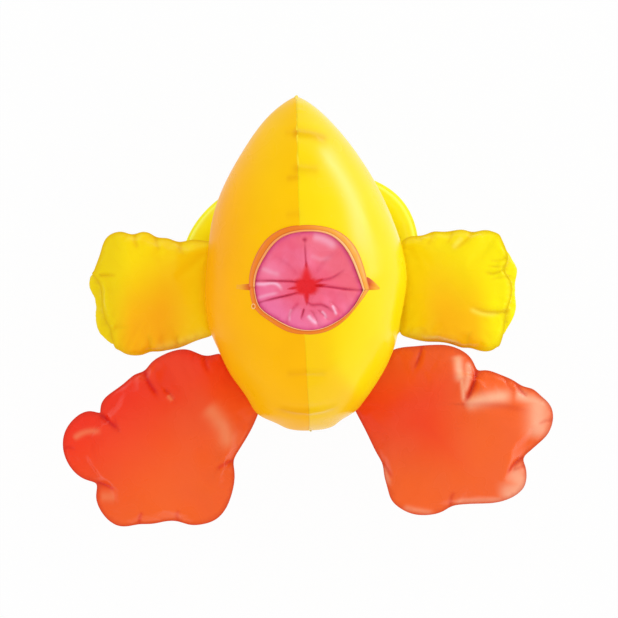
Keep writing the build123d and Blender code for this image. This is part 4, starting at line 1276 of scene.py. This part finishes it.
def right_foot_vinyl():
    """Foot film, redder in a band across its middle and more orange towards its outer end."""
    nodes = Nodes("orange_vinyl_right_foot")
    off_band = nodes.math("ABSOLUTE", nodes.math("ADD", nodes.axis(0, 1), 0.150))
    share = nodes.math("MAXIMUM", nodes.remap(off_band, 0, 0.07), nodes.ramp(1, 0, 0.11, 0.18))
    colour = nodes.mix(share, (246, 68, 26), (247, 99, 34))
    return foot_vinyl(nodes, colour, (244, 98, 50), 0.3, (200, 56, 20), (214, 44, 16), (252, 178, 142))


def seam_vinyl():
    nodes = Nodes("yellow_weld")
    stripe = nodes.bands(220, 0.3, "Y")
    nodes.bump(stripe, 0.15, 0.0005)
    return nodes.finish(nodes.tint((253, 222, 34), stripe, 0.3, (240, 196, 16)), 0.38, 0.2)


def rim_vinyl():
    """The rim's band, the bead along its inner edge, painted pale as a highlight, and the weld between the
    two.
    """
    nodes = Nodes("orange_rim_vinyl")
    across = nodes.attribute("across")
    colour = nodes.mix(nodes.ramp(0.85, 0.5, 0.004, 0.05), (240, 128, 20), (245, 170, 58))
    # Painted highlight on the bead, stronger towards the lower right
    bead = nodes.math("MULTIPLY", nodes.remap(across, 0.8, 0.86), nodes.ramp(0.6, -0.8, -0.03, 0.02, 0.45))
    colour = nodes.mix(bead, colour, (252, 196, 128))
    off_weld = nodes.math("ABSOLUTE", nodes.math("SUBTRACT", across, 0.76))
    colour = nodes.tint(colour, nodes.remap(off_weld, 0, 0.08, 1, 0), 0.8, (204, 82, 24))
    colour = nodes.tint(colour, nodes.remap(across, 0.02, 0.14, 1, 0), 0.7, (218, 84, 14))
    colour = nodes.mix(nodes.remap(across, 0.97, 1), colour, (208, 66, 100))
    nodes.bump(nodes.noise(160), 0.15, 0.001)
    return nodes.finish(colour, 0.3, 0.35)


def tuck_vinyl():
    nodes = Nodes("orange_fold_vinyl")
    # The orange is the band's own; its darker red-orange, fading to yellow along the tuck, is a painted
    # shadow of the band's corner on the body.
    colour = nodes.mix(nodes.remap(nodes.noise(60), 0.3, 0.7), (218, 88, 16), (204, 74, 16))
    colour = nodes.tint(colour, nodes.remap(nodes.attribute("along"), 0.2, 0.9), 0.85, (250, 184, 28))
    nodes.bump(nodes.noise(190), 0.2, 0.001)
    return nodes.finish(colour, 0.36, 0.2)


def throat_vinyl():
    nodes = Nodes("pink_vinyl_film")
    reach = nodes.attribute("reach")
    heart = nodes.remap(nodes.attribute("gather"), 0.03, 0.8)
    colour = nodes.mix(nodes.remap(nodes.noise(26, 3, 0.55), 0.35, 0.68), (240, 96, 128), (246, 124, 160))
    colour = nodes.tint(colour, nodes.ramp(0.75, 0.66, 0, 0.018), 0.55, (241, 104, 116))
    colour = nodes.tint(colour, nodes.ramp(-0.6, -0.8, 0.03, 0.055), 0.6, (238, 110, 164))
    colour = nodes.tint(colour, nodes.remap(reach, 0.88, 1), 0.7, (232, 84, 152))
    # Painted highlights beside the folds, then painted shade in their grooves
    colour = nodes.mix(nodes.attribute("painted_light"), colour, (252, 196, 222))
    colour = nodes.tint(colour, nodes.attribute("crease_shade"), 0.85, (204, 44, 90))
    colour = nodes.tint(colour, nodes.remap(reach, 0.62, 0.16), 0.45, (240, 72, 92))
    colour = nodes.mix(heart, colour, (233, 32, 42))
    height = nodes.math("ADD", nodes.noise(55, 3), nodes.math("MULTIPLY", nodes.noise(210), 0.2))
    nodes.bump(nodes.math("MULTIPLY", height, nodes.math("SUBTRACT", 1, heart)), 0.16, 0.0015)
    gloss = nodes.remap(nodes.noise(40), 0.3, 0.7, 0.2, 0.32)
    return nodes.finish(colour, nodes.math("ADD", gloss, nodes.math("MULTIPLY", heart, 0.55)))


def moulded(name, base, other, rough):
    """Moulded plastic: faint flow marks and a fine eroded texture."""
    nodes = Nodes(name)
    colour = nodes.mix(nodes.remap(nodes.noise(14, 4, 0.6), 0.3, 0.7), base, other)
    nodes.bump(nodes.noise(900, 2, 0.6), 0.05, 0.0004)
    return nodes.finish(colour, nodes.remap(nodes.noise(60, 3), 0.3, 0.7, rough - 0.06, rough + 0.08), 0.5)


def tablet_powder():
    nodes = Nodes("pressed_chlorine_tablet")
    grains = nodes.new("ShaderNodeTexVoronoi", {"Vector": nodes.places["Object"], "Scale": 620})
    colour = nodes.mix(nodes.remap(nodes.noise(310, 3, 0.6), 0.56, 0.7), (240, 241, 236), (214, 218, 214))
    lumps = nodes.math("MULTIPLY", nodes.noise(120, 4), 1.4)
    nodes.bump(nodes.math("ADD", grains.outputs["Distance"], lumps), 0.35, 0.0007)
    return nodes.finish(colour, 0.86, 0.2)


def clear_soft_vinyl():
    nodes = Nodes("clear_soft_vinyl")
    colour = nodes.mix(nodes.remap(nodes.noise(140, 3), 0.3, 0.7), (232, 236, 228), (216, 224, 214))
    nodes.bump(nodes.noise(320), 0.08, 0.0006)
    nodes.shader.inputs["Transmission Weight"].default_value = 0.35
    nodes.shader.inputs["IOR"].default_value = 1.5
    return nodes.finish(colour, 0.26, 0.5)


# ---------------------------------------------------------------- build

seam_material = seam_vinyl()
rim_material = rim_vinyl()
tuck_material = tuck_vinyl()
pink_material = throat_vinyl()
cushion_material = cushion_vinyl()

body_skin(-1, body_left_vinyl())
body_skin(1, body_right_vinyl())
body_seam("body_seam_tail", 0.0320, TAIL_END, 0.0505, seam_material)
body_seam("body_seam_head", -0.0690, HEAD_END, -0.0505, seam_material)

rim_band("upper_lip_band", "upper_lip", RIM_UPPER_OUTER, RIM_UPPER_INNER, rim_material)
rim_band("lower_lip_band", "lower_lip", RIM_LOWER_OUTER, RIM_LOWER_INNER, rim_material)
corner_tuck("left_corner_tuck", (-45.5, -24.2), (-63.5, -24.0), 6.4, 0.4, tuck_material)
corner_tuck("right_corner_tuck", (58.3, -20.5), (73.0, -25.4), 13.0, 0.93, tuck_material)
rim_loop(rim_material)

throat_folds(pink_material)
throat_tube(pink_material)
cushion_skin(1, cushion_material)
cushion_skin(-1, cushion_material)

LEFT_WING_COLOURS = (253, 222, 4), (253, 182, 12), (240, 210, 10)
RIGHT_WING_COLOURS = (251, 230, 6), (253, 190, 8), (249, 234, 6)
for limb, film, slot_name in (
    ("left_wing", wing_vinyl("yellow_vinyl_left_wing", *LEFT_WING_COLOURS, -1), "yellow_vinyl"),
    ("right_wing", wing_vinyl("yellow_vinyl_right_wing", *RIGHT_WING_COLOURS, 1), "yellow_vinyl"),
    ("left_foot", left_foot_vinyl(), "orange_vinyl"),
    ("right_foot", right_foot_vinyl(), "orange_vinyl"),
):
    limb_skin(limb, film)
    limb_gusset(limb, film)

white_plastic = moulded("white_moulded_plastic", (240, 241, 238), (232, 234, 231), 0.34)
blue_plastic = moulded("blue_moulded_plastic", (38, 104, 178), (32, 94, 166), 0.36)
CAD_FINISHES = {
    white_plastic: ("collar", "canister", "base_cap"),
    blue_plastic: ("flow_ring",),
    tablet_powder(): ("tablets",),
    clear_soft_vinyl(): ("body_valve", "body_valve_plug", "cushion_valve", "cushion_valve_plug"),
}
for finish_material, nodes_of_finish in CAD_FINISHES.items():
    for node_name in nodes_of_finish:
        for material_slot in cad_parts[node_name].material_slots:
            material_slot.material = finish_material

# ---------------------------------------------------------------- floor, light and camera


def area_light(name, place, aim, size, power):
    light = bpy.data.lights.new(name, "AREA")
    light.shape = "RECTANGLE"
    light.size, light.size_y = size
    light.energy = power
    lamp = bpy.data.objects.new(name, light)
    lamp.location = place
    lamp.rotation_euler = (Vector(aim) - Vector(place)).to_track_quat("-Z", "Y").to_euler()
    COLLECTION.objects.link(lamp)


def seen_directly(nodes):
    """1 for camera, mirror and see-through rays."""
    rays = nodes.new("ShaderNodeLightPath", {}).outputs
    mirrored = nodes.math("MAXIMUM", rays["Is Camera Ray"], rays["Is Glossy Ray"])
    return nodes.math("MAXIMUM", mirrored, rays["Is Transmission Ray"])


def make_floor():
    """Grey paper that glows white where it is seen directly."""
    nodes = Nodes("floor_paper")
    paper = nodes.finish((0.85, 0.85, 0.85, 1), 0.9, 0)
    glow = nodes.new("ShaderNodeEmission", {"Strength": 1})
    share = nodes.math("MULTIPLY", seen_directly(nodes), 0.95)
    surface = nodes.new("ShaderNodeMixShader", {0: share, 1: nodes.shader.outputs[0], 2: glow.outputs[0]})
    nodes.put(nodes.tree.nodes["Material Output"].inputs["Surface"], surface.outputs[0])
    half = 9
    corners = (-half, -half, 0), (half, -half, 0), (half, half, 0), (-half, half, 0)
    floor = make_piece("floor", corners, [(0, 1, 2, 3)], paper, None, smooth=False)


def make_world():
    """White studio: even fill, and in reflections a white horizon under a dimmer ceiling."""
    nodes = Nodes("studio", "worlds", "Background")
    bpy.context.scene.world = nodes.owner
    height = nodes.new("ShaderNodeSeparateXYZ", {0: nodes.places["Generated"]}).outputs["Z"]
    ceiling = nodes.remap(height, 0, 0.16, 1, CEILING_GLOW)
    strength = nodes.new("ShaderNodeMix", {0: seen_directly(nodes), 2: FILL, 3: ceiling})
    nodes.put(nodes.shader.inputs["Color"], (1, 1, 1, 1))
    nodes.put(nodes.shader.inputs["Strength"], strength.outputs[0])


FILL, CEILING_GLOW = 1.04, 0.1
make_floor()
make_world()
area_light("side_softbox", (2.05, 0.2, 0.6), (0.0, -0.02, 0.25), (0.6, 1.2), 2.6)
area_light("strip_softbox", (1.2, 0.64, 0.10), (0.03, 0.04, 0.33), (1.2, 0.16), 3.2)

camera_data = bpy.data.cameras.new("camera")
camera_data.sensor_width = 36
camera_data.lens = 174.8
camera_data.clip_end = 50
camera = bpy.data.objects.new("camera", camera_data)
camera.location = (0.0055, -0.045, 3.2)
COLLECTION.objects.link(camera)
bpy.context.scene.camera = camera

bpy.context.scene.view_settings.view_transform = "Standard"
